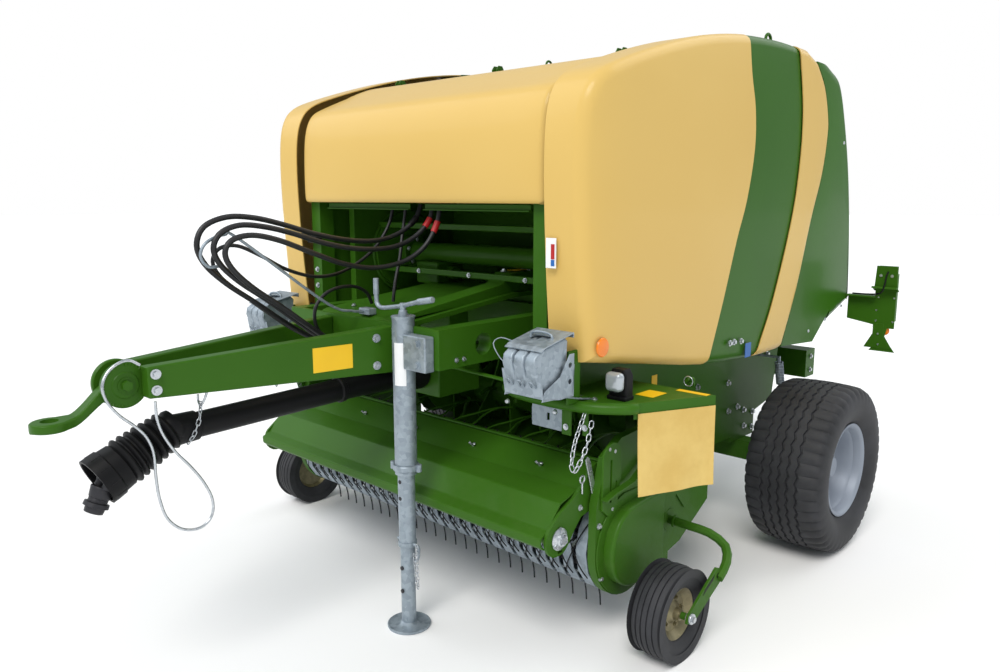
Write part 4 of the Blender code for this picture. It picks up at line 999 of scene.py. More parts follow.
def makeHitchHead():
    parts = []
    for way in (1, -1):
        near, far = hitch["discX"]
        profile = [(near, 0.0001), (near, hitch["disc"] - 0.004), (near + 0.004, hitch["disc"]),
                   (far - 0.004, hitch["disc"]), (far, hitch["disc"] - 0.004), (far, 0.045),
                   (far + 0.004, 0.042),
                   (far + 0.004, 0.0001)]
        parts.append(addLathe([(way * w, r) for w, r in profile], hitch["axis"], 56))
        for index in range(hitch["teeth"]):
            turn = 2 * pi * index / hitch["teeth"]
            spot = (way * (far - 0.001), hitch["axis"][0] + 0.066 * cos(turn),
                    hitch["axis"][1] + 0.066 * sin(turn))
            tip = (way * (far - 0.001), hitch["axis"][0] + 0.0755 * cos(turn),
                   hitch["axis"][1] + 0.0755 * sin(turn))
            parts.append(addRod(spot, tip, 0.0026, 0.0036, 5))
        parts.append(addBolt((way * (far + 0.004), *hitch["axis"]), (way, 0, 0), 0.019, 0.014))
    parts.append(addBox((-0.045, hitch["axis"][0] + 0.02, 1.105),
                        (0.045, beamLook["frontY"] + 0.03, 1.195), 0.006))
    return joinAll(parts)


def makeHitchEye():
    y, z = hitch["eye"]
    r = hitch["eyeRadius"]
    ring = arcPoints((0, y), r, 135, 406, 15)
    neck = [(0.030, y + 0.075), (0.026, y + 0.12), (0.0245, hitch["axis"][0] - 0.03),
            (0.0245, hitch["axis"][0] + 0.02)]
    outline = ring + neck + [(-u, v) for u, v in reversed(neck)]
    piece = addOutline(outline, z - 0.016, z + 0.016, "Z")
    sliceAcross(piece, "Y", y + 0.05, hitch["axis"][0] + 0.02, 0.018)
    openEdges(piece, lambda a, b: abs(a.z - b.z) < 1e-5 and min(abs(a.z - z + 0.016),
                                                                abs(a.z - z - 0.016)) < 1e-5
              and Vector((a.x, a.y - y)).length > r - 0.002 and abs(a.x) + abs(b.x) > 0.03
              and abs(a.x - b.x) < 0.03)
    roundOpened(0.009, 3)
    cutWith(piece, addRod((0, y, z - 0.05), (0, y, z + 0.05), hitch["hole"], sides=32))
    for corner in piece.data.vertices:             # the neck climbs from the eye to the clamp discs
        climb = min(1.0, max(0.0, (corner.co.y - y - 0.05) / 0.15))
        climb = climb * climb * (3 - 2 * climb)
        middle = z + climb * 0.088
        corner.co.z = middle + (corner.co.z - z) * (1 + 0.7 * climb)
    return smoothLook(piece, 40)


hand(makeHitchHead(), "hitch_clamp", "chassis", "green", ("hitch_head",))
hand(makeHitchEye(), "hitch_ring", "chassis", "green", ("hitch_eye",))

# ---------- chains ----------
def addChain(points, link, wire):              # link is each ring's length, wire its bar's radius
    route = smoothRoute(points, 10)
    spots, carried, pitch = [], 0.0, link - 2.2 * wire
    for a, b in zip(route, route[1:]):
        stretch = (b - a).length
        while carried <= stretch:
            spots.append((a.lerp(b, carried / stretch), (b - a).normalized()))
            carried += pitch
        carried -= stretch
    links = []
    for index, (spot, direction) in enumerate(spots):
        clearSelection()
        bpy.ops.mesh.primitive_torus_add(major_segments=12, minor_segments=6,
                                         major_radius=link * 0.31,
                                         minor_radius=wire)
        ring = bpy.context.object
        for corner in ring.data.vertices:          # a long link from a round ring
            corner.co.y += link * 0.17 * (1 if corner.co.y > 0 else -1)
            corner.co.x *= 0.82
        turn = direction.to_track_quat("Y", "Z").to_matrix().to_4x4()
        twist = Matrix.Rotation(radians(90 * (index % 2) + 20), 4, "Y")
        ring.data.transform(Matrix.Translation(spot) @ turn @ twist)
        ring.data.shade_smooth()
        links.append(ring)
    return joinAll(links)


# ---------- jack ----------
jack = {"x": 0.311, "y": -1.965, "tube": 0.0447}


def makeJackTube():
    x, y, r = jack["x"], jack["y"], jack["tube"]
    shell = addLathe([(0.66, 0.0387), (0.66, r), (1.288, r), (1.296, r + 0.003), (1.302, r + 0.003),
                      (1.302, r - 0.004), (1.302, 0.013)], (x, y), 48, "Z")
    collar = addLathe([(0.676, r - 0.001), (0.676, r + 0.006), (0.680, r + 0.009),
                       (0.696, r + 0.009),
                       (0.700, r + 0.006), (0.700, r - 0.001)], (x, y), 48, "Z")
    parts = [shell, collar]
    for turn in (200, 20):
        place = Vector((x + (r + 0.014) * cos(radians(turn)), y + (r + 0.014) * sin(radians(turn)),
                        0))
        parts.append(addRod(place + Vector((0, 0, 0.672)), place + Vector((0, 0, 0.704)), 0.012,
                            sides=14,
                            rounding=0.003))
    parts.append(addBox((x + 0.034, y - 0.034, 1.098), (x + 0.163, y + 0.0142, 1.236), 0.005))
    parts.append(addBox((x + 0.028, y - 0.030, 1.105), (x + 0.05, y + 0.012, 1.229), 0.004))
    parts += addBolts([(x + 0.118, y - 0.034, z) for z in (1.125, 1.208)], (0, -1, 0), 0.013, 0.009)
    parts.append(addRod((x, y, 1.30), (x, y, 1.325), 0.020, 0.016, 20, 0.002))
    parts.append(addRod((x, y, 1.32), (x, y, 1.352), 0.0125, sides=16))
    crank = [(x + 0.165, y, 1.377), (x + 0.14, y, 1.375), (x + 0.06, y, 1.356), (x, y, 1.341),
             (x - 0.09, y, 1.326), (x - 0.135, y, 1.322), (x - 0.156, y, 1.332),
             (x - 0.163, y, 1.352),
             (x - 0.1645, y, 1.432)]
    parts.append(addTube(crank, 0.0092, smooth=4))
    parts.append(addRod((x + 0.09, y, 1.3635), (x + 0.175, y, 1.379), 0.0125, sides=16,
                        rounding=0.003))
    parts.append(addRod((x - 0.1645, y, 1.372), (x - 0.1645, y, 1.438), 0.0115, sides=14,
                        rounding=0.002))
    return joinAll(parts)


def makeJackLeg():
    x, y = jack["x"], jack["y"]
    leg = addLathe([(0.352, 0.0305), (0.352, 0.035), (0.740, 0.035), (0.740, 0.0305)], (x, y), 40,
                   "Z")
    inner = addLathe([(0.006, 0.0301), (0.42, 0.0301), (0.42, 0.0001)], (x, y), 40, "Z")
    foot = addLathe([(0.0, 0.0001), (0.0, 0.078), (0.0, 0.088), (0.004, 0.0895), (0.011, 0.0895),
                     (0.012, 0.086),
                     (0.009, 0.078), (0.010, 0.050), (0.018, 0.036), (0.021, 0.0301)], (x, y), 56,
                    "Z")
    ring = addLathe([(0.352, 0.034), (0.352, 0.0385), (0.372, 0.0385), (0.372, 0.034)], (x, y), 40,
                    "Z")
    pin = addTube([(x - 0.060, y, 0.366), (x + 0.045, y, 0.366), (x + 0.058, y, 0.366),
                   (x + 0.066, y, 0.358),
                   (x + 0.068, y, 0.345), (x + 0.064, y, 0.315), (x + 0.052, y, 0.297)], 0.0065,
                  smooth=4)
    # dark discs on the leg stand for its pin holes: painted shade inside the holes, no hole is cut
    holeShades = []
    for z in (0.16, 0.26, 0.56, 0.63):
        holeShades.append(addRod((x, y - 0.0352, z), (x, y - 0.030, z), 0.0085, sides=20))
    return joinAll([leg, inner, foot, ring, pin]), joinAll(holeShades)


hand(makeJackTube(), "jack_body", "chassis", "zinc", ("jack_tube",))
legPiece, legHoleShades = makeJackLeg()
hand(legPiece, "jack_foot_leg", "jack_leg", "zinc", ("jack_leg",))
# dark steel discs: painted shade of the leg's holes
hand(legHoleShades, "jack_leg_hole_shades", "jack_leg", "steel")
hand(addChain([(0.375, -1.972, 0.365), (0.392, -1.985, 0.30), (0.40, -1.99, 0.235),
               (0.394, -1.985, 0.20),
               (0.380, -1.98, 0.215), (0.366, -1.972, 0.26), (0.352, -1.968, 0.33)], 0.020, 0.0019),
     "jack_pin_chain", "jack_leg", "bright")
labelTurn = radians(-62)


def makeTubeLabel():                               # blank label wrapped on the tube
    x, y, r = jack["x"], jack["y"], jack["tube"] + 0.0006
    line = [(r * cos(labelTurn + radians(a)) + x,
             r * sin(labelTurn + radians(a)) + y) for a in range(-32, 33, 4)]
    back = [((r - 0.003) * cos(labelTurn + radians(a)) + x,
             (r - 0.003) * sin(labelTurn + radians(a)) + y)
            for a in range(32, -33, -4)]
    return smoothLook(addOutline(line + back, 1.03, 1.20, "Z"), 40)


hand(makeTubeLabel(), "jack_blank_label", "chassis", "whiteLabel")
print("stage: drawbar and jack ready")

# ---------- drive shaft ----------
shaft = {"rear": (-1.62, 0.985), "bend": (-2.80, 0.945), "mouth": (-3.035, 0.825),
         "drop": (-0.052, -0.105)}


# a piece made along +Z from the origin, laid on a line
def alongLine(piece, start, end):
    start, end = Vector(start), Vector(end)
    turn = (end - start).to_track_quat("Z", "Y").to_matrix().to_4x4()
    piece.data.transform(Matrix.Translation(start) @ turn)
    return piece


def makeShaftGuard():
    rear, bend, mouth = (Vector((0, *shaft[key])) for key in ("rear", "bend", "mouth"))
    reach = (bend - rear).length
    tubePart = addLathe([(0.0, 0.030), (0.0, 0.080), (0.012, 0.084), (0.10, 0.072), (0.14, 0.056),
                         (0.15, 0.050),
                         (0.42, 0.047), (0.425, 0.053), (0.445, 0.053), (0.45, 0.047),
                         (reach - 0.12, 0.047),
                         (reach - 0.115, 0.054), (reach - 0.06, 0.056), (reach - 0.02, 0.058),
                         (reach, 0.05)],
                        (0, 0), 40, "Z")
    alongLine(tubePart, rear, bend)
    folds = [(-0.05, 0.045), (-0.05, 0.060), (-0.035, 0.064)]
    spot, wide, narrow = -0.02, 0.074, 0.060
    for _ in range(7):                             # bellows, wider towards the mouth
        folds += [(spot, narrow), (spot + 0.007, wide - 0.003), (spot + 0.0125, wide),
                  (spot + 0.018, wide - 0.003)]
        spot += 0.0265
        wide += 0.0022
        narrow += 0.0016
    reach = (mouth - bend).length
    folds += [(spot, 0.074), (spot + 0.006, 0.080), (reach - 0.055, 0.083), (reach - 0.05, 0.0875),
              (reach - 0.018, 0.0885), (reach - 0.012, 0.0885), (reach, 0.0885), (reach, 0.0785),
              (reach - 0.03, 0.0765), (reach - 0.16, 0.072), (reach - 0.17, 0.030)]
    boot = alongLine(addLathe(folds, (0, 0), 48, "Z"), bend, mouth)
    ridges = []
    for index in range(10):                        # short stiffening ribs round the last ring
        turn = 2 * pi * index / 10
        near = (0.0845 * cos(turn), 0.0845 * sin(turn), reach - 0.052)
        far = (0.0865 * cos(turn), 0.0865 * sin(turn), reach - 0.016)
        ridges.append(alongLine(addRod(near, far, 0.0035, sides=6), bend, mouth))
    return joinAll([tubePart, boot] + ridges)


def makeYoke():
    bend, mouth = (Vector((0, *shaft[key])) for key in ("bend", "mouth"))
    fall = (mouth - bend).normalized()
    drop = Vector((0, *shaft["drop"])).normalized()
    start = bend + fall * 0.19
    neck = start + fall * 0.03
    parts = [addRod(start - fall * 0.06, start + fall * 0.02, 0.040, 0.046, 28, 0.004)]
    for way in (1, -1):                            # forks round the cross
        ear = addRod(neck + Vector((way * 0.030, 0, 0)) - drop * 0.01,
                     neck + Vector((way * 0.030, 0, 0)) + drop * 0.05, 0.014, 0.018, 16, 0.003)
        cup = addRod(neck + drop * 0.02 + Vector((way * 0.024, 0, 0)), neck + drop * 0.02
                     + Vector((way * 0.043, 0, 0)), 0.0165, sides=20, rounding=0.002)
        parts += [ear, cup]
    parts.append(addRod(neck + drop * 0.045, neck + drop * 0.085, 0.040, 0.034, 28, 0.003))
    sleeve = addLathe([(0.0, 0.0175), (0.0, 0.030), (0.008, 0.032), (0.020, 0.032), (0.022, 0.041),
                       (0.036, 0.042),
                       (0.038, 0.033), (0.056, 0.031), (0.058, 0.0265), (0.058, 0.0175),
                       (0.02, 0.0165)],
                      (0, 0), 36, "Z")
    alongLine(sleeve, neck + drop * 0.077, neck + drop * 0.135)
    teeth = []
    for index in range(6):                         # splines inside the sleeve
        turn = 2 * pi * index / 6
        near = (0.0168 * cos(turn), 0.0168 * sin(turn), 0.022)
        far = (0.0168 * cos(turn), 0.0168 * sin(turn), 0.056)
        teeth.append(alongLine(addRod(near, far, 0.0026, sides=6), neck + drop * 0.077,
                               neck + drop * 0.135))
    return joinAll(parts + [sleeve] + teeth)


hand(makeShaftGuard(), "shaft_guard", "chassis", "black", ("pto_guard",))
hand(makeYoke(), "shaft_yoke", "pto_yoke", "steel", ("pto_yoke",))
hook = addTube([(0.085, -2.67, 1.118), (0.088, -2.675, 1.09), (0.080, -2.685, 1.055),
                (0.060, -2.69, 1.035),
                (0.045, -2.69, 1.05), (0.047, -2.69, 1.07)], 0.0045, smooth=4)
hand(hook, "shaft_hook", "chassis", "bright")
hand(addChain([(0.062, -2.69, 1.036), (0.068, -2.70, 0.99), (0.062, -2.72, 0.935),
               (0.040, -2.73, 0.905)], 0.026,
              0.0024), "shaft_chain", "chassis", "bright")
print("stage: drive shaft ready")

# ---------- helpers for sheet metal ----------
# a bent sheet along its drawn line
def addFolded(points, thickness, lowEnd, highEnd, plane="X", bend=0.0):
    line = [Vector(point) for point in points]
    back = []
    for index, point in enumerate(line):
        normals = []
        for a, b in ((index - 1, index), (index, index + 1)):
            if a >= 0 and b < len(line):
                run = (line[b] - line[a]).normalized()
                normals.append(Vector((-run.y, run.x)))
        middle = sum(normals, Vector((0, 0))).normalized()
        back.append(point + middle * thickness / max(0.4, middle.dot(normals[0])))
    outline = [tuple(point) for point in line] + [tuple(point) for point in reversed(back)]
    piece = addOutline(outline, lowEnd, highEnd, plane)
    if bend:
        axis = "XYZ".index(plane)
        inner = [Vector(flatPlace(plane, *point, 0)) for point in line[1:-1] + back[1:-1]]

        def onBend(a, b):
            flat = Vector(tuple(0 if i == axis else a[i] for i in range(3)))
            across = abs(a[axis] - b[axis]) > abs(highEnd - lowEnd) / 2
            return across and any((flat - p).length < 1e-4 for p in inner)
        openEdges(piece, onBend)
        roundOpened(bend, 3)
    return smoothLook(piece, 30)


def refine(node, body, finish, edge=0.003):        # a CAD shape with its sharp edges broken
    piece = copyOf(nodes[node])
    onlySelect(piece)
    bpy.ops.object.mode_set(mode="EDIT")
    bpy.ops.mesh.select_all(action="SELECT")
    bpy.ops.mesh.remove_doubles(threshold=0.0001)
    bpy.ops.mesh.dissolve_limited(angle_limit=radians(1.5))
    closeMesh()
    rounding = piece.modifiers.new("edges", "BEVEL")
    rounding.width = edge
    rounding.segments = 2
    rounding.limit_method = "ANGLE"
    rounding.angle_limit = radians(35)
    applyAll(piece)
    piece.data.transform(Matrix.Translation((0, -axleY, 0)))
    return hand(smoothLook(piece, 30), f"{node}_plates", body, finish, (node,))


# ---------- crop guard ----------
guard = {"half": 0.944, "wall": 0.006, "bend": 0.006, "arm": (0.945, 0.957),
         "roller": (-1.785, 0.515),
         "plate": [(-1.525, 0.735), (-1.70, 0.635)],
         "fold": [(-1.655, 0.6635), (-1.757, 0.636), (-1.826, 0.552), (-1.869, 0.531),
                  (-1.867, 0.505),
                  (-1.848, 0.490)],
         "nuts": (-0.80, -0.43, -0.05, 0.33, 0.71)}


def makeGuard():
    half, wall = guard["half"], guard["wall"]
    upper = addFolded([(-1.520, 0.722), (-1.525, 0.735), (-1.56, 0.715), (-1.70, 0.632),
                       (-1.762, 0.597)],
                      -wall, -half, half, bend=guard["bend"])
    lower = addFolded(guard["fold"], -wall, -half - 0.0005, half + 0.0005, bend=guard["bend"])
    slope = (Vector(guard["plate"][1]) - Vector(guard["plate"][0])).normalized()
    up = Vector((0, slope.y, -slope.x))
    up = up if up.z > 0 else -up
    studs = []
    for x in guard["nuts"]:                        # wing nuts along the upper edge
        foot = Vector((x, -1.60, 0.6925)) + up * 0.001
        for way in (1, -1):
            studs.append(addRod(foot + Vector((way * 0.006, 0, 0)) + up * 0.004,
                                foot + Vector((way * 0.016, 0, 0)) + up * 0.021, 0.0035, 0.0065, 8,
                                0.0015))
        studs.append(addRod(foot - up * 0.002, foot + up * 0.003, 0.015, sides=18))
        studs.append(addRod(foot, foot + up * 0.015, 0.0075, 0.006, 12))
    roller = addRod((-half, *guard["roller"]), (half, *guard["roller"]), 0.036, sides=32)
    return upper, lower, joinAll(studs), roller


def makeGuardArm():
    near, far = guard["arm"]
    y, z = guard["roller"]
    nose = arcPoints((y, z), 0.072, 140, 331, 15)
    outline = ([(-1.525, 0.735), (-1.56, 0.752), (-1.60, 0.740), (-1.62, 0.705), (-1.665, 0.672),
                (-1.70, 0.645),
                (-1.775, 0.612)] + nose + [(-1.69, 0.52), (-1.65, 0.56), (-1.60, 0.57),
                                           (-1.55, 0.575),
                                          (-1.525, 0.60)])
    outline = [(max(u, -1.872), max(v, 0.446)) for u, v in outline]
    arm = addOutline(outline, near, far + 0.002, "X", 0.002)
    for turn in (100, 190, 280):                   # slots for the bearing's bolts
        a = radians(turn)
        spot = Vector((0, y + 0.055 * cos(a), z + 0.055 * sin(a)))
        run = Vector((0, -sin(a), cos(a))) * 0.011
        cutWith(arm, addBox(spot - Vector((0.0, 0.003, 0.003)) - run + Vector((near - 0.01, 0, 0)),
                            spot + Vector((0.0, 0.003, 0.003)) + run + Vector((far + 0.012, 0, 0))))
    cutWith(arm, addRod((near - 0.01, -1.585, 0.722), (far + 0.012, -1.585, 0.722), 0.009,
                        sides=20))
    flange = addLathe([(far + 0.002, 0.0001), (far + 0.002, 0.040), (far + 0.008, 0.043),
                       (far + 0.012, 0.038),
                       (far + 0.016, 0.028), (far + 0.024, 0.026), (far + 0.026, 0.022),
                       (far + 0.024, 0.015),
                       (far + 0.030, 0.0145), (far + 0.030, 0.0001)], (y, z), 40)
    parts = [flange]
    for turn in (90, 210, 330):
        a = radians(turn)
        parts.append(addBolt((far + 0.008, y + 0.035 * cos(a), z + 0.035 * sin(a)), (1, 0, 0),
                             0.0075, 0.006))
    parts += addBolts([(far + 0.002, -1.66, 0.60), (far + 0.002, -1.575, 0.62)], (1, 0, 0), 0.008,
                      0.006)
    return smoothLook(arm, 30), joinAll(parts)


upperPlate, lowerPlate, guardStuds, cropRoller = makeGuard()
hand(upperPlate, "guard_upper_plate", "crop_guard", "green", ("crop_guard",))
hand(lowerPlate, "guard_lower_plate", "crop_guard", "green")
hand(guardStuds, "guard_wing_nuts", "crop_guard", "bright")
hand(cropRoller, "guard_roller", "crop_guard", "green")
guardArm, guardBearing = makeGuardArm()
handBoth(guardArm, "guard_arm", "crop_guard", "green")
handBoth(guardBearing, "guard_bearing", "crop_guard", "bright")
cropTines = []
for index in range(17):                            # crop tines under the guard, over the reel
    x = -0.84 + index * 0.105
    lean = 0.03 * (1 if index % 2 else -1)
    cropTines.append(addTube([(x, -1.510, 0.742), (x, -1.46, 0.752), (x + lean, -1.38, 0.762),
                              (x + lean * 1.6, -1.27, 0.768), (x + lean * 2, -1.17, 0.752)], 0.0045,
                             smooth=3,
                             sides=2))
cropTines.append(addRod((-0.944, -1.509, 0.743), (0.944, -1.509, 0.743), 0.008, sides=14))
hand(joinAll(cropTines), "crop_guide_tines", "pickup", "green")

# ---------- pickup ----------
pickup = {"centre": (-1.40, 0.40), "pitch": 0.072, "outer": 1.0042, "cover": 0.050}
bandSpots = [(index - 12.5) * pickup["pitch"] for index in range(26)]


def onRing(x, radius, angle):                   # angle in degrees
    y, z = pickup["centre"]
    return x, y + radius * cos(radians(angle)), z + radius * sin(radians(angle))


def makeTineShadowWires():                              # dark wires that cross over the bands: partly the tines seen across the bands, partly painted shadow that the tines cast on the bands
    wires = []
    for x in bandSpots:
        for way in (1, -1):
            wires.append(addTube([onRing(x - way * 0.052, 0.2245, 150),
                                  onRing(x - way * 0.026, 0.2265, 166),
                                  onRing(x + way * 0.026, 0.2265, 194),
                                  onRing(x + way * 0.052, 0.2245, 210)],
                                 0.0026, smooth=2, sides=1))
    return joinAll(wires)


def makePickupCover():
    near = pickup["outer"]
    ring = arcPoints(pickup["centre"], 0.172, 110, 281, 8)
    outline = [(-1.20, 0.575), (-1.35, 0.572)] + ring + [(-1.25, 0.24), (-1.205, 0.26),
                                                         (-1.205, 0.50)]
    cover = addOutline(outline, near, near + pickup["cover"], "X")
    openEdges(cover, lambda a, b: min(a.x, b.x) > near + pickup["cover"] - 1e-4)
    roundOpened(0.014, 4)
    rim = arcPoints(pickup["centre"], 0.214, 100, 291, 8)
    flange = addOutline([(-1.10, 0.60), (-1.37, 0.61)] + rim + [(-1.10, 0.212)], near, near + 0.006,
                        "X", 0.002)
    lobe = arcPoints((-1.53, 0.775), 0.062, 15, 166, 15)
    slotPlate = addOutline(lobe + [(-1.592, 0.58), (-1.55, 0.545), (-1.50, 0.56), (-1.47, 0.70)],
                           near + 0.0004,
                           near + 0.010, "X", 0.002)
    for low, high, gap in ((-1.545, -1.533, (0.60, 0.77)), (-1.507, -1.499, (0.63, 0.68))):
        cutWith(slotPlate, addBox((near - 0.01, low, gap[0]), (near + 0.03, high, gap[1])))
    ear = addOutline([(-1.15, 0.60), (-1.02, 0.60), (-0.95, 0.66), (-0.93, 0.56), (-0.93, 0.45),
                      (-0.98, 0.42),
                      (-1.05, 0.50), (-1.13, 0.44), (-1.17, 0.44)], near, near + 0.008, "X", 0.002)
    strap = addFolded([(-1.60, 0.625), (-1.54, 0.640), (-1.42, 0.655), (-1.30, 0.72)], 0.007,
                      near + 0.011,
                      near + 0.040, bend=0.004)
    collars = [addRod((near, -1.10, 0.40), (near + 0.008, -1.10, 0.40), 0.048, sides=28,
                      rounding=0.002),
               addRod((near + 0.03, -1.10, 0.40), (near + 0.040, -1.10, 0.40), 0.027, sides=24,
                      rounding=0.002)]
    bolts = addBolts([(near + 0.0005, *spot) for spot in (
        (-1.30, 0.67), (-1.20, 0.70), (-1.03, 0.72), (-1.58, 0.30), (-1.12, 0.66), (-0.99, 0.62),
                                                          (-1.135, 0.57),
        (-1.55, 0.815), (-1.515, 0.80), (-1.525, 0.57), (-0.90, 0.78), (-1.60, 0.52))], (1, 0, 0),
                     0.0085, 0.007)
    return joinAll([smoothLook(cover, 35), flange, slotPlate, ear, strap] + collars), joinAll(bolts)


def makeCombs():
    y, z = pickup["centre"]
    parts = [addRod((-0.94, y, z), (0.94, y, z), 0.05, sides=28)]
    for row in range(4):
        base = 165 + 90 * row
        parts.append(addRod(onRing(-0.93, 0.15, base), onRing(0.93, 0.15, base), 0.014, sides=12))
        for x in bandSpots:
            parts.append(addTube([onRing(x, 0.15, base), onRing(x, 0.20, base + 2),
                                  onRing(x, 0.232, base + 4),
                                  onRing(x, 0.262, base + 7), onRing(x, 0.306, base + 9)], 0.0036,
                                 smooth=2,
                                 sides=1))
    for x in (-0.93, -0.31, 0.31, 0.93):
        parts.append(addRod((x - 0.003, y, z), (x + 0.003, y, z), 0.165, sides=40))
    return joinAll(parts)


# black wires over the bands: tines plus their painted shadows
hand(makeTineShadowWires(), "band_tines_and_shadows", "pickup", "black")
pickupCover, pickupBolts = makePickupCover()
handBoth(pickupCover, "pickup_side_cover", "pickup", "green")
handBoth(pickupBolts, "pickup_side_bolts", "pickup", "bright")
hand(makeCombs(), "reel_combs", "reel", "steel", ("tine_reel",))
gaugeBits = [addRod((1.296, -1.42, 0.183), (1.320, -1.42, 0.183), 0.021, sides=24, rounding=0.002),
             addBolt((1.318, -1.42, 0.183), (1, 0, 0), 0.013, 0.008)]
handBoth(joinAll(gaugeBits), "gauge_axle_end", "pickup", "bright")
# thin black plates stand for the fork's slot and hole: painted shade of the openings, nothing is
# cut
forkSlotShades = [addOutline([(-1.335, 0.245), (-1.32, 0.265), (-1.25, 0.300), (-1.262, 0.282)], 1.3118,
                        1.3132),
             addRod((1.3118, -1.222, 0.288), (1.3134, -1.222, 0.288), 0.010, sides=16)]
handBoth(joinAll(forkSlotShades), "gauge_fork_slot_shades", "pickup", "black")
print("stage: pickup ready")

# ---------- platforms, chocks, lamps and flaps ----------
step = {"lipA": Vector((1.10, -1.515, 0)), "lipB": Vector((1.244, -1.20, 0)),
        "lipZ": (0.944, 1.0045),
        "out": Vector((0.909, -0.416, 0))}         # square to the lip, away from the machine


def makePlatformBits():
    out = step["out"]
    along = (step["lipB"] - step["lipA"]).normalized()
    bolts, plates = [], []
    corners = [step["lipA"] + out * 0.0058 - along * 0.012,
               step["lipB"] + out * 0.0058 + along * 0.006,
               step["lipB"] + out * 0.0085 + along * 0.006,
               step["lipA"] + out * 0.0085 - along * 0.012]
    plates.append(addOutline([(c.x, c.y) for c in corners], *step["lipZ"], "Z", 0.001, 1))
    for share in (0.07, 0.38, 0.67, 0.94):
        spot = step["lipA"].lerp(step["lipB"], share) + out * 0.0085
        bolts.append(addRod((spot.x, spot.y, 0.9605), (spot.x + out.x * 0.003,
                                                       spot.y + out.y * 0.003, 0.9605),
                            0.005, 0.0035, 12))
    bolts += addBolts([(0.86, -1.62, 1.004), (0.90, -1.585, 1.004), (0.955, -1.575, 1.004),
                       (0.62, -1.645, 1.008), (0.78, -1.655, 1.008)], (0, 0, 1), 0.008, 0.006)
    for x, z in ((0.60, 0.955), (0.845, 0.955)):    # round heads under the tube
        bolts.append(addRod((x, -1.672, z), (x, -1.684, z), 0.011, 0.008, 14, 0.002))
    for x, y, half in ((0.882, -1.650, 0.022), (0.945, -1.615, 0.012)):
        plates.append(addBox((x - half, y - 0.004, 0.868), (x + half, y + 0.004, 0.985), 0.0015, 1))
        bolts.append(addBolt((x, y - 0.004, 0.90), (0, -1, 0), 0.0085, 0.006))
    rod = addTube([(0.245, -1.668, 1.047), (0.50, -1.690, 1.047), (0.76, -1.708, 1.045),
                   (0.93, -1.715, 1.040)],
                  0.0075, smooth=3)
    plates.append(rod)
    plates.append(addFolded([(-1.715, 1.040), (-1.70, 1.034), (-1.66, 1.012), (-1.58, 1.0075)],
                            0.005, 0.82, 0.93,
                            bend=0.003))
    plates.append(addBox((0.925, -1.712, 1.005), (0.935, -1.640, 1.205), 0.002, 1))
    lynch = [addBox((1.07, -1.12, 1.0045), (1.115, -1.113, 1.035), 0.002, 1),
             addRod((1.092, -1.135, 1.028), (1.092, -1.09, 1.028), 0.006, sides=12)]
    plates.append(addTube([(0.505, -1.50, 0.988), (0.507, -1.53, 0.988), (0.53, -1.60, 0.988),
                           (0.62, -1.645, 0.988),
                           (0.757, -1.662, 0.988), (0.90, -1.655, 0.988), (1.00, -1.625, 0.988),
                           (1.09, -1.556, 0.988), (1.106, -1.522, 0.988)], 0.0225, smooth=5,
                          sides=5))
    zincPlate = addOutline([(0.70, 0.872), (0.865, 0.872), (0.865, 0.966), (0.70, 0.966)], -1.6405,
                           -1.6345, "Y",
                           0.002)
    cutWith(zincPlate, addBox((0.775, -1.66, 0.905), (0.79, -1.61, 0.935)))
    ring = addTube([(x, -1.128, z) for x, z in arcPoints((1.092, 1.022), 0.020, 0, 360, 30)],
                   0.0022,
                   smooth=2, sides=2, closed=True)
    slots = addBox((0.70, -1.6412, 0.89), (0.704, -1.6402, 0.95))
    return joinAll(plates + lynch), joinAll(bolts + [ring]), joinAll([smoothLook(zincPlate, 30),
                                                                      slots])


platformPlates, platformBolts, platformZinc = makePlatformBits()
handBoth(platformPlates, "platform_brackets", "chassis", "green")
handBoth(platformBolts, "platform_bolts", "chassis", "bright")
handBoth(platformZinc, "platform_socket", "chassis", "zinc")
labels = joinAll([addBox((1.02, -1.40, 1.0042), (1.10, -1.30, 1.0052)),
                  addBox((1.10, -1.235, 1.0042),
                                                                         (1.235, -1.205, 1.0052))])
handBoth(labels, "platform_blank_labels", "chassis", "yellowLabel")
guardChain = [(0.966, -1.655, 0.958), (0.973, -1.715, 0.87), (0.983, -1.745, 0.80),
              (0.996, -1.748, 0.775),
              (1.007, -1.735, 0.795), (1.008, -1.69, 0.86), (0.998, -1.645, 0.945)]
handBoth(addChain(guardChain, 0.031, 0.0027), "guard_chain", "chassis", "bright")
eyeBolt = [addTube([(0.9645, y, z) for y, z in arcPoints((-1.655, 0.712), 0.014, 0, 360, 30)],
                   0.0033,
                   smooth=2, sides=2, closed=True),
           addRod((0.9645, -1.655, 0.698), (0.9645, -1.655, 0.655), 0.0036, sides=10),
           addOutline([(-1.646, 0.786), (-1.632, 0.796), (-1.618, 0.782), (-1.552, 0.575),
                       (-1.566, 0.560),
                       (-1.580, 0.571)], 0.968, 0.973, "X", 0.001, 1)]
handBoth(joinAll(eyeBolt), "guard_hanger", "crop_guard", "bright")

chockLook = {"x": (0.80, 0.96), "ribs": 3,
             "body": [(-1.752, 1.075), (-1.742, 1.252), (-1.756, 1.264), (-1.888, 1.234),
                      (-1.922, 1.212),
                      (-1.928, 1.180), (-1.895, 1.085), (-1.870, 1.072)]}


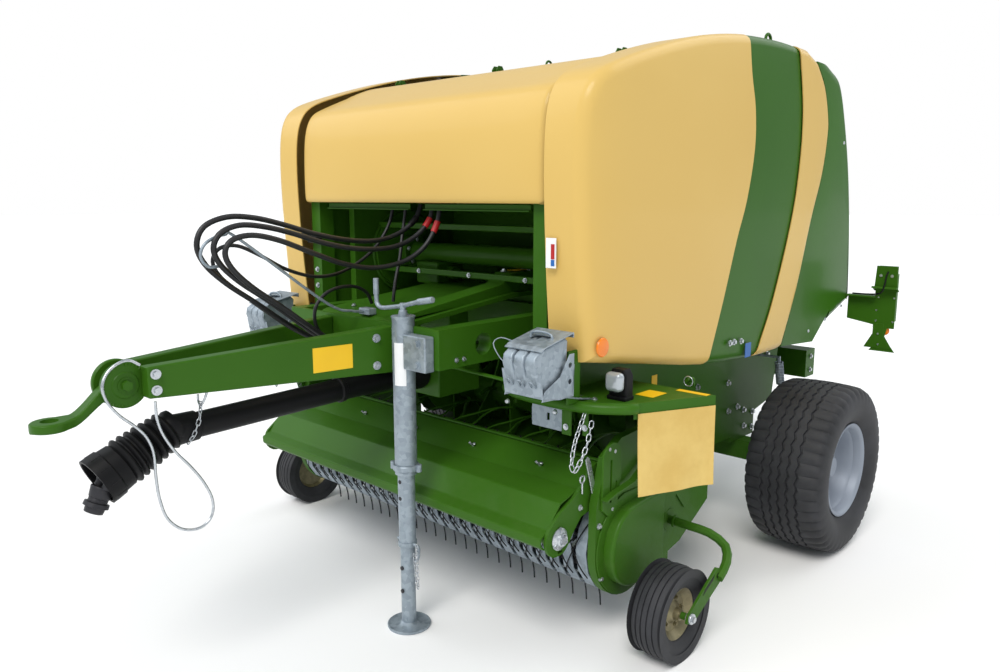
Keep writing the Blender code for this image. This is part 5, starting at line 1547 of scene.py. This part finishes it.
def makeChock():
    low, high = chockLook["x"]
    wide = (high - low) / chockLook["ribs"]
    parts = []
    for rib in range(chockLook["ribs"]):
        near = low + rib * wide + 0.003
        block = addOutline(chockLook["body"], near, near + wide - 0.006, "X")
        openEdges(block, lambda a, b: abs(a.x - b.x) < 1e-5)
        roundOpened(0.009, 3)
        parts.append(smoothLook(block, 45))
    core = [(u * 0.9 + -1.83 * 0.1, v * 0.9 + 1.165 * 0.1) for u, v in chockLook["body"]]
    parts.append(addOutline(core, low + 0.008, high - 0.008, "X", 0.003))
    lid = addFolded([(-1.724, 1.262), (-1.724, 1.2765), (-1.880, 1.2415), (-1.900, 1.230)], -0.004,
                    low - 0.006,
                    high + 0.006, bend=0.003)
    cutWith(lid, addBox((low + 0.040, -1.825, 1.20), (high - 0.040, -1.780, 1.30), 0.012))
    parts.append(lid)
    grip = addTube([(low + 0.030, -1.80, 1.262), (low + 0.034, -1.80, 1.275),
                    (low + 0.06, -1.80, 1.282),
                    (high - 0.06, -1.80, 1.282), (high - 0.034, -1.80, 1.275),
                    (high - 0.03, -1.80, 1.262)],
                   0.0055, smooth=2)
    parts.append(grip)
    trough = addFolded([(-1.912, 1.155), (-1.895, 1.062), (-1.80, 1.0465), (-1.728, 1.050),
                        (-1.720, 1.165)], 0.004,
                       low - 0.010, high + 0.010, bend=0.004)
    parts.append(trough)
    for x in (low - 0.010, high + 0.0065):
        cheek = addOutline([(-1.90, 1.055), (-1.722, 1.046), (-1.722, 1.205), (-1.748, 1.205),
                            (-1.80, 1.13),
                            (-1.885, 1.09)], x, x + 0.0035, "X", 0.001, 1)
        for spot in ((-1.745, 1.165), (-1.745, 1.105)):
            cutWith(cheek, addRod((x - 0.01, *spot), (x + 0.02, *spot), 0.010, sides=18))
        parts.append(cheek)
    for rib in range(chockLook["ribs"]):           # wire loops at the lower front
        x = low + (rib + 0.5) * wide
        parts.append(addTube([(x - 0.010, -1.903, 1.10), (x - 0.008, -1.920, 1.122),
                              (x + 0.008, -1.920, 1.122),
                              (x + 0.010, -1.903, 1.10)], 0.0028, smooth=2, sides=2))
    parts.append(addTube([(low + 0.004, -1.86, 1.245), (low - 0.025, -1.90, 1.262),
                          (low - 0.030, -1.935, 1.245),
                          (low - 0.012, -1.925, 1.20), (low + 0.01, -1.915, 1.175)], 0.0022,
                         smooth=3, sides=2))
    parts.append(addFolded([(-1.57, 1.006), (-1.63, 1.0175), (-1.75, 1.0455)], 0.005, low + 0.02,
                           high - 0.02))
    return joinAll(parts)


def makeLamp():
    x, y, base = 1.02, -1.50, 1.0045
    stand = addOutline([(x - 0.042, base), (x + 0.042, base), (x + 0.040, base + 0.03),
                        (x + 0.039, base + 0.095),
                        (x + 0.026, base + 0.118), (x - 0.026, base + 0.118),
                        (x - 0.039, base + 0.095),
                        (x - 0.040, base + 0.03)], y - 0.022, y + 0.026, "Y", 0.006, 3)
    foot = addBox((x - 0.042, y - 0.032, base), (x + 0.042, y + 0.03, base + 0.016), 0.004)
    lens = addBox((x - 0.037, y - 0.060, base + 0.036), (x + 0.037, y - 0.018, base + 0.110), 0.019,
                  5)
    bulb = addRod((x, y - 0.020, base + 0.074), (x, y - 0.014, base + 0.074), 0.020, sides=20)
    return joinAll([smoothLook(stand, 35), foot]), smoothLook(lens, 60), bulb


handBoth(makeChock(), "chock_block", "chassis", "zinc", "wheel_chock")
lampStand, lampLens, lampBulb = makeLamp()
handBoth(lampStand, "lamp_stand", "chassis", "black")
handBoth(lampLens, "lamp_glass", "chassis", "lens", "front_lamp")
handBoth(lampBulb, "lamp_reflector", "chassis", "bright")

flap = {"width": 0.346, "drop": 0.317, "top": 0.965, "wall": 0.0035, "wave": 0.007}


def makeFlap():
    clearSelection()
    bpy.ops.mesh.primitive_grid_add(x_subdivisions=26, y_subdivisions=20, size=1)
    piece = bpy.context.object
    start, end = Vector((1.109, -1.515, 0)), Vector((1.253, -1.20, 0))
    for corner in piece.data.vertices:
        across, down = corner.co.x + 0.5, 0.5 - corner.co.y
        loose = down ** 1.5
        ripple = sin(across * 5.2 + 0.6) + 0.5 * sin(across * 11.0 + down * 2)
        wave = flap["wave"] * loose * ripple
        spot = start.lerp(end, across) + step["out"] * (0.0035 + wave + 0.010 * loose)
        corner.co = (spot.x, spot.y, flap["top"] - flap["drop"] * down)
    thicken(piece, flap["wall"], 0.0)
    applyAll(piece)
    return smoothLook(piece, 40)


flapPiece = makeFlap()
for side, part in (("left", flapPiece), ("right", mirrored(flapPiece))):
    hand(part, f"flap_cloth_{side}", "chassis", "flap", (f"flap_{side}",))
print("stage: platforms ready")

# ---------- feed rotor and auger ----------
rotorY, rotorZ = -0.92, 0.74


def makeFlight(start, end, turns, way):            # a thin helix of sheet round the rotor
    steps = 44
    clearSelection()
    bpy.ops.mesh.primitive_grid_add(x_subdivisions=steps, y_subdivisions=2, size=1)
    piece = bpy.context.object
    for corner in piece.data.vertices:
        share, out = corner.co.x + 0.5, corner.co.y + 0.5
        angle = way * 2 * pi * turns * share
        radius = 0.070 + 0.105 * out
        corner.co = (start + (end - start) * share, rotorY + radius * cos(angle),
                     rotorZ + radius * sin(angle))
    thicken(piece, 0.005, 0.0)
    applyAll(piece)
    return smoothLook(piece, 50)


flights = []
for way in (1, -1):
    flights.append(makeFlight(way * 0.47, way * 0.68, 1.25, way))
    for x in (0.12, 0.30):
        for index in range(3):                     # curved feed fingers on their rings
            turn = radians(120 * index + x * 300)
            path = [Vector((way * x, rotorY + r * cos(turn + lag), rotorZ + r * sin(turn + lag)))
                    for r, lag in ((0.07, 0), (0.13, 0.10), (0.188, 0.32))]
            flights.append(addTube(path, 0.010, smooth=3, sides=2))
hand(joinAll(flights), "rotor_flights", "rotor", "green")

# ---------- inside the front opening ----------
pulleyY, pulleyZ = -1.18, 1.48
postFace = -1.6405                             # the front face of the two posts
bay = []
for z, deep in ((1.745, 0.03), (1.62, 0.03), (1.40, 0.024)):
    bay.append(addBox((-0.70, -1.345, z - 0.014), (0.70, -1.345 + deep, z + 0.014), 0.004))
bay.append(addRod((-0.575, pulleyY, pulleyZ), (-0.500, pulleyY, pulleyZ), 0.082, sides=40,
                  rounding=0.006))
bay.append(addLathe([(-0.606, 0.0001), (-0.606, 0.212), (-0.600, 0.218), (-0.592, 0.212),
                     (-0.592, 0.0001)],
                    (pulleyY, pulleyZ), 64))
bay.append(addBox((-0.40, -1.28, 1.33), (-0.24, -1.10, 1.44), 0.012))
bay.append(addRod((-0.42, -1.19, 1.385), (-0.20, -1.19, 1.385), 0.035, sides=24, rounding=0.004))
for way in (1, -1):                                # inner side sheets behind the posts
    bay.append(addFolded([(-1.622, 1.702), (-1.606, 1.702), (-1.606, 1.728)], 0.005,
                         min(way * 0.05, way * 0.66),
                         max(way * 0.05, way * 0.66), bend=0.003))
    bay.append(addBox((way * 0.731 - 0.004, -1.559, 1.065), (way * 0.731 + 0.004, -1.20, 2.05),
                      0.001, 1))
hand(joinAll(bay), "bay_rails", "chassis", "green")
bayBolts = []
for index in range(5):
    turn = radians(72 * index + 20)
    bayBolts.append(addBolt((-0.500, pulleyY + 0.062 * cos(turn), pulleyZ + 0.062 * sin(turn)),
                            (1, 0, 0),
                            0.008, 0.006))
bayBolts += addBolts([(-0.735, postFace, z) for z in (1.95, 1.40, 1.32)], (0, -1, 0), 0.009, 0.007)
bayBolts += addBolts([(x, -1.346, 1.40) for x in (-0.30, 0.05, 0.40, 0.60)], (0, -1, 0), 0.008,
                     0.007)
hand(joinAll(bayBolts), "bay_bolts", "chassis", "bright")
latches = [addFolded([(-0.788, -1.660), (-0.775, -1.668), (-0.700, -1.668), (-0.690, -1.655),
                      (-0.690, postFace)],
                     0.010, z - 0.022, z + 0.022, "Z", 0.003) for z in (1.555, 1.205)]
hand(joinAll(latches), "cover_latches", "chassis", "black")
print("stage: inside ready")

# ---------- covers' small parts ----------
def makeReflector():
    spot = Vector((1.0005, -1.600, 1.214))
    disc = addLathe([(0.0, 0.0001), (0.0, 0.034), (0.004, 0.0365), (0.008, 0.034), (0.010, 0.022),
                     (0.0105, 0.0001)],
                    (0, 0), 40, "Z")
    return alongLine(disc, spot, spot + Vector((1, 0, 0)))


handBoth(makeReflector(), "side_reflector", "side_panel_{}", "amber")
stripeBolts = addBolts([(1.0055, -0.583, 1.103), (1.0055, -0.515, 1.098), (1.0055, -0.622, 1.102)],
                       (1, 0, 0), 0.010, 0.008)
handBoth(joinAll(stripeBolts), "stripe_bolts", "side_panel_{}", "bright")
handBoth(addBox((1.0045, -0.468, 1.012), (1.0072, -0.412, 1.080), 0.0008, 1), "side_blank_label",
         "side_panel_{}", "blueLabel")
labelParts = {"whiteLabel": addBox((0.815, -1.7035, 1.502), (0.862, -1.6985, 1.612), 0.0008, 1),
              "red": addBox((0.840, -1.7048, 1.535), (0.857, -1.7032, 1.590), 0.0004, 1),
              "blueLabel": addBox((0.840, -1.7048, 1.510), (0.857, -1.7032, 1.533), 0.0004, 1)}
for finish, piece in labelParts.items():
    hand(piece, f"front_blank_{finish}", "side_panel_left", finish)
eyes = []
for x, y, z, size in ((0.09, -0.83, 2.372, 0.020), (0.88, -0.14, 2.478, 0.027),
                      (-0.88, -0.14, 2.478, 0.027)):
    ring = [(x, y + size * cos(radians(a)), z + size * (0.85 + sin(radians(a)))) for a in range(0,
                                                                                                360,
                                                                                                20)]
    eyes.append(joinAll([addTube(ring, size * 0.27, smooth=1, closed=True),
                         addRod((x, y, z - 0.006), (x, y, z + size * 0.12), size * 0.55, sides=16,
                                rounding=0.002)]))
hand(eyes[0], "lifting_eye_middle", "chassis", "green")
hand(eyes[1], "lifting_eye_left", "side_panel_left", "green")
hand(eyes[2], "lifting_eye_right", "side_panel_right", "green")
lugs = []
for x in (-0.735, -0.02, 0.69):                    # hinge lugs behind the hood's top edge
    for way in (1, -1):
        lugs.append(addOutline([(-1.100, 2.322), (-1.100, 2.352), (-1.086, 2.370), (-1.062, 2.370),
                                (-1.050, 2.352),
                                (-1.050, 2.324)], x + way * 0.014 - 0.003, x + way * 0.014 + 0.003,
                               "X", 0.001, 1))
    lugs.append(addRod((x - 0.022, -1.075, 2.352), (x + 0.022, -1.075, 2.352), 0.006, sides=12))
    lugs.append(addBox((x - 0.022, -1.105, 2.316), (x + 0.022, -1.045, 2.323), 0.002, 1))
hand(joinAll(lugs), "hood_hinge_lugs", "chassis", "green")

# ---------- rear lamps and marks ----------
rear = {"face": 0.885, "lampX": (1.160, 1.240)}


def makeLightBits():
    low, high = rear["lampX"]
    shelf = addFolded([(0.846, 1.232), (0.846, 1.238), (0.800, 1.262), (0.796, 1.250)], 0.005,
                      1.127, 1.262, bend=0.003)
    board = addOutline([(1.132, 1.236), (1.258, 1.236), (1.252, 1.375), (1.140, 1.375)], 0.826,
                       0.832, "Y", 0.001, 1)
    gusset = addOutline([(0.990, 1.204), (1.128, 1.204), (1.128, 1.196), (0.990, 1.196)], 0.806,
                        0.846, "Y", 0.001, 1)
    bolts = addBolts([(1.165, 0.8265, 1.32), (1.225, 0.8265, 1.32)], (0, -1, 0), 0.006, 0.004)
    bolts += [addRod((x, 0.8425, z), (x, 0.8385, z), 0.006, 0.004, 10) for x, z in
              ((1.155, 1.195), (1.24, 1.195), (1.15, 1.06), (1.24, 1.06), (1.148, 1.12))]
    bolts += [addRod((x, 0.8385, z), (x, 0.8345, z), 0.006, 0.004, 10) for x,
              z in ((1.167, 0.985), (1.172, 0.925))]
    foot = addOutline([(1.137, 1.045), (1.196, 1.045), (1.196, 0.985), (1.250, 0.902),
                       (1.092, 0.902), (1.137, 0.985)],
                      0.8385, 0.8425, "Y", 0.001, 1)
    lead = addTube([(1.205, 0.824, 1.345), (1.198, 0.815, 1.320), (1.196, 0.800, 1.270),
                    (1.180, 0.795, 1.225),
                    (1.12, 0.805, 1.213), (1.02, 0.812, 1.2105)], 0.0045, smooth=3)
    amber = addLathe([(0.0, 0.0001), (0.0, 0.024), (0.005, 0.026), (0.008, 0.022), (0.009, 0.0001)],
                     (0, 0), 28, "Z")
    alongLine(amber, (1.198, 0.862, 1.005), (1.198, 0.80, 1.005))
    glass = {"red": [addBox((low, rear["face"], 1.068), (high, rear["face"] + 0.014, 1.188), 0.006,
                            3)],
             "amber": [addBox((low, rear["face"], 1.194), (high, rear["face"] + 0.014, 1.322),
                              0.006, 3), amber],
             "black": [lead]}
    return joinAll([smoothLook(board, 30), gusset, shelf, foot]), joinAll(bolts), glass


lightPlates, lightBolts, lightGlass = makeLightBits()
handBoth(lightPlates, "light_plates", "tailgate", "green")
handBoth(lightBolts, "light_rivets", "tailgate", "bright")
for finish, parts in lightGlass.items():
    handBoth(joinAll(parts), f"light_{finish}", "tailgate", finish)
gateFace = 0.7205                              # the rear face of the tailgate's frame
hand(addBox((-0.27, gateFace, 0.752), (0.27, 0.7245, 0.872), 0.001, 1), "rear_blank_plate",
     "tailgate", "whiteLabel")
reflector = addRod((0.70, gateFace, 0.792), (0.70, 0.7295, 0.792), 0.066, 0.062, 3, 0.001)
handBoth(reflector, "rear_reflector", "tailgate", "red")
gateBolts = addBolts([(x, gateFace, 0.735) for x in (0.10, 0.35, 0.60, 0.80)], (0, 1, 0), 0.008,
                     0.006)
for y, z in ((0.30, 1.045), (0.52, 1.085), (0.74, 1.14), (0.30, 2.05), (0.62, 2.05)):
    gateBolts.append(addRod((0.984, y, z), (0.9885, y, z), 0.010, 0.007, 14))
gateBolts += addBolts([(0.8605, 0.66, 0.76), (0.8605, 0.66, 0.84)], (1, 0, 0), 0.010, 0.008)
handBoth(joinAll(gateBolts), "gate_bolts", "tailgate", "bright")
print("stage: covers ready")

# ---------- frames ----------
for node, edge in (("drawbar_frame", 0.003), ("front_frame", 0.004), ("side_frame_left", 0.002),
                   ("side_frame_right", 0.002), ("axle_beam", 0.005), ("gearbox", 0.006),
                   ("net_roller", 0.002),
                   ("chamber_floor", 0.003), ("platform_left", 0.0025), ("platform_right", 0.0025)):
    refine(node, "chassis", "green", edge)
for node in ("pickup_frame", "gauge_arm_left", "gauge_arm_right"):
    refine(node, "pickup", "green", 0.002)
refine("feed_rotor", "rotor", "green", 0.0015)
refine("stripper_bands", "pickup", "zinc", 0.0012)
for node in ("tailgate_frame", "light_bracket_left", "light_bracket_right"):
    refine(node, "tailgate", "green", 0.002)
frameBolts = []
for y, z in ((-0.186, 0.808), (-0.171, 0.654), (-0.07, 0.66), (0.002, 0.629), (0.108, 0.60),
             (0.012, 0.539),
             (0.105, 0.515), (-0.50, 0.84), (-1.12, 0.93), (0.05, 0.98), (0.25, 0.90)):
    frameBolts.append(addBolt((0.7805, y, z), (1, 0, 0), 0.011, 0.012))
handBoth(joinAll(frameBolts), "side_frame_bolts", "chassis", "bright")
handBoth(addBox((0.7802, -0.91, 0.905), (0.7815, -0.866, 0.962)), "side_frame_blank_label",
         "chassis", "yellowLabel")
spring = [(0.925 + 0.021 * cos(radians(60 * i)), 0.090 + 0.021 * sin(radians(60 * i)) + i * 0.0004,
           0.898 - i * 0.0015) for i in range(84)]
springSet = [addTube(spring, 0.0042, smooth=1, sides=2),
             addRod((0.925, 0.082, 0.925), (0.925, 0.125, 0.782), 0.010),
             addRod((0.775, 0.08, 0.925), (0.935, 0.08, 0.925), 0.007)]
handBoth(joinAll(springSet), "axle_spring", "chassis", "zinc")
saddle = addOutline([(-1.885, 1.300), (-1.36, 1.375), (-1.30, 1.420), (-1.10, 1.425),
                     (-1.10, 1.338), (-1.885, 1.280)],
                    0.175, 0.275, "X", 0.004)
saddleLabel = addBox((0.195, -1.245, 1.4262), (0.255, -1.165, 1.4272))
hand(smoothLook(saddle, 30), "drawbar_saddle", "chassis", "green")
hand(saddleLabel, "saddle_blank_label", "chassis", "yellowLabel")
topBolts = [addBolt((-0.20, -1.82, 1.2815), (0, 0, 1), 0.008, 0.006)]
topBolts += addBolts([(0.205, -1.14, 1.424), (0.245, -1.14, 1.424), (0.20, -1.27, 1.424)],
                     (0, 0, 1), 0.010, 0.008)
topBolts += addBolts([(0.4995, -1.86, 1.135), (0.4995, -1.82, 1.135)], (1, 0, 0), 0.007, 0.006)
hand(joinAll(topBolts), "drawbar_top_bolts", "chassis", "bright")
print("stage: frames ready")

# ---------- finishes of the CAD nodes that stay ----------
for node, finish in (("chamber_front_wall", "green"), ("roof_panel", "dark")):
    mesh = nodes[node].data
    mesh.materials.clear()
    mesh.materials.append(finishes[finish]["material"])

print("stage: all ready")
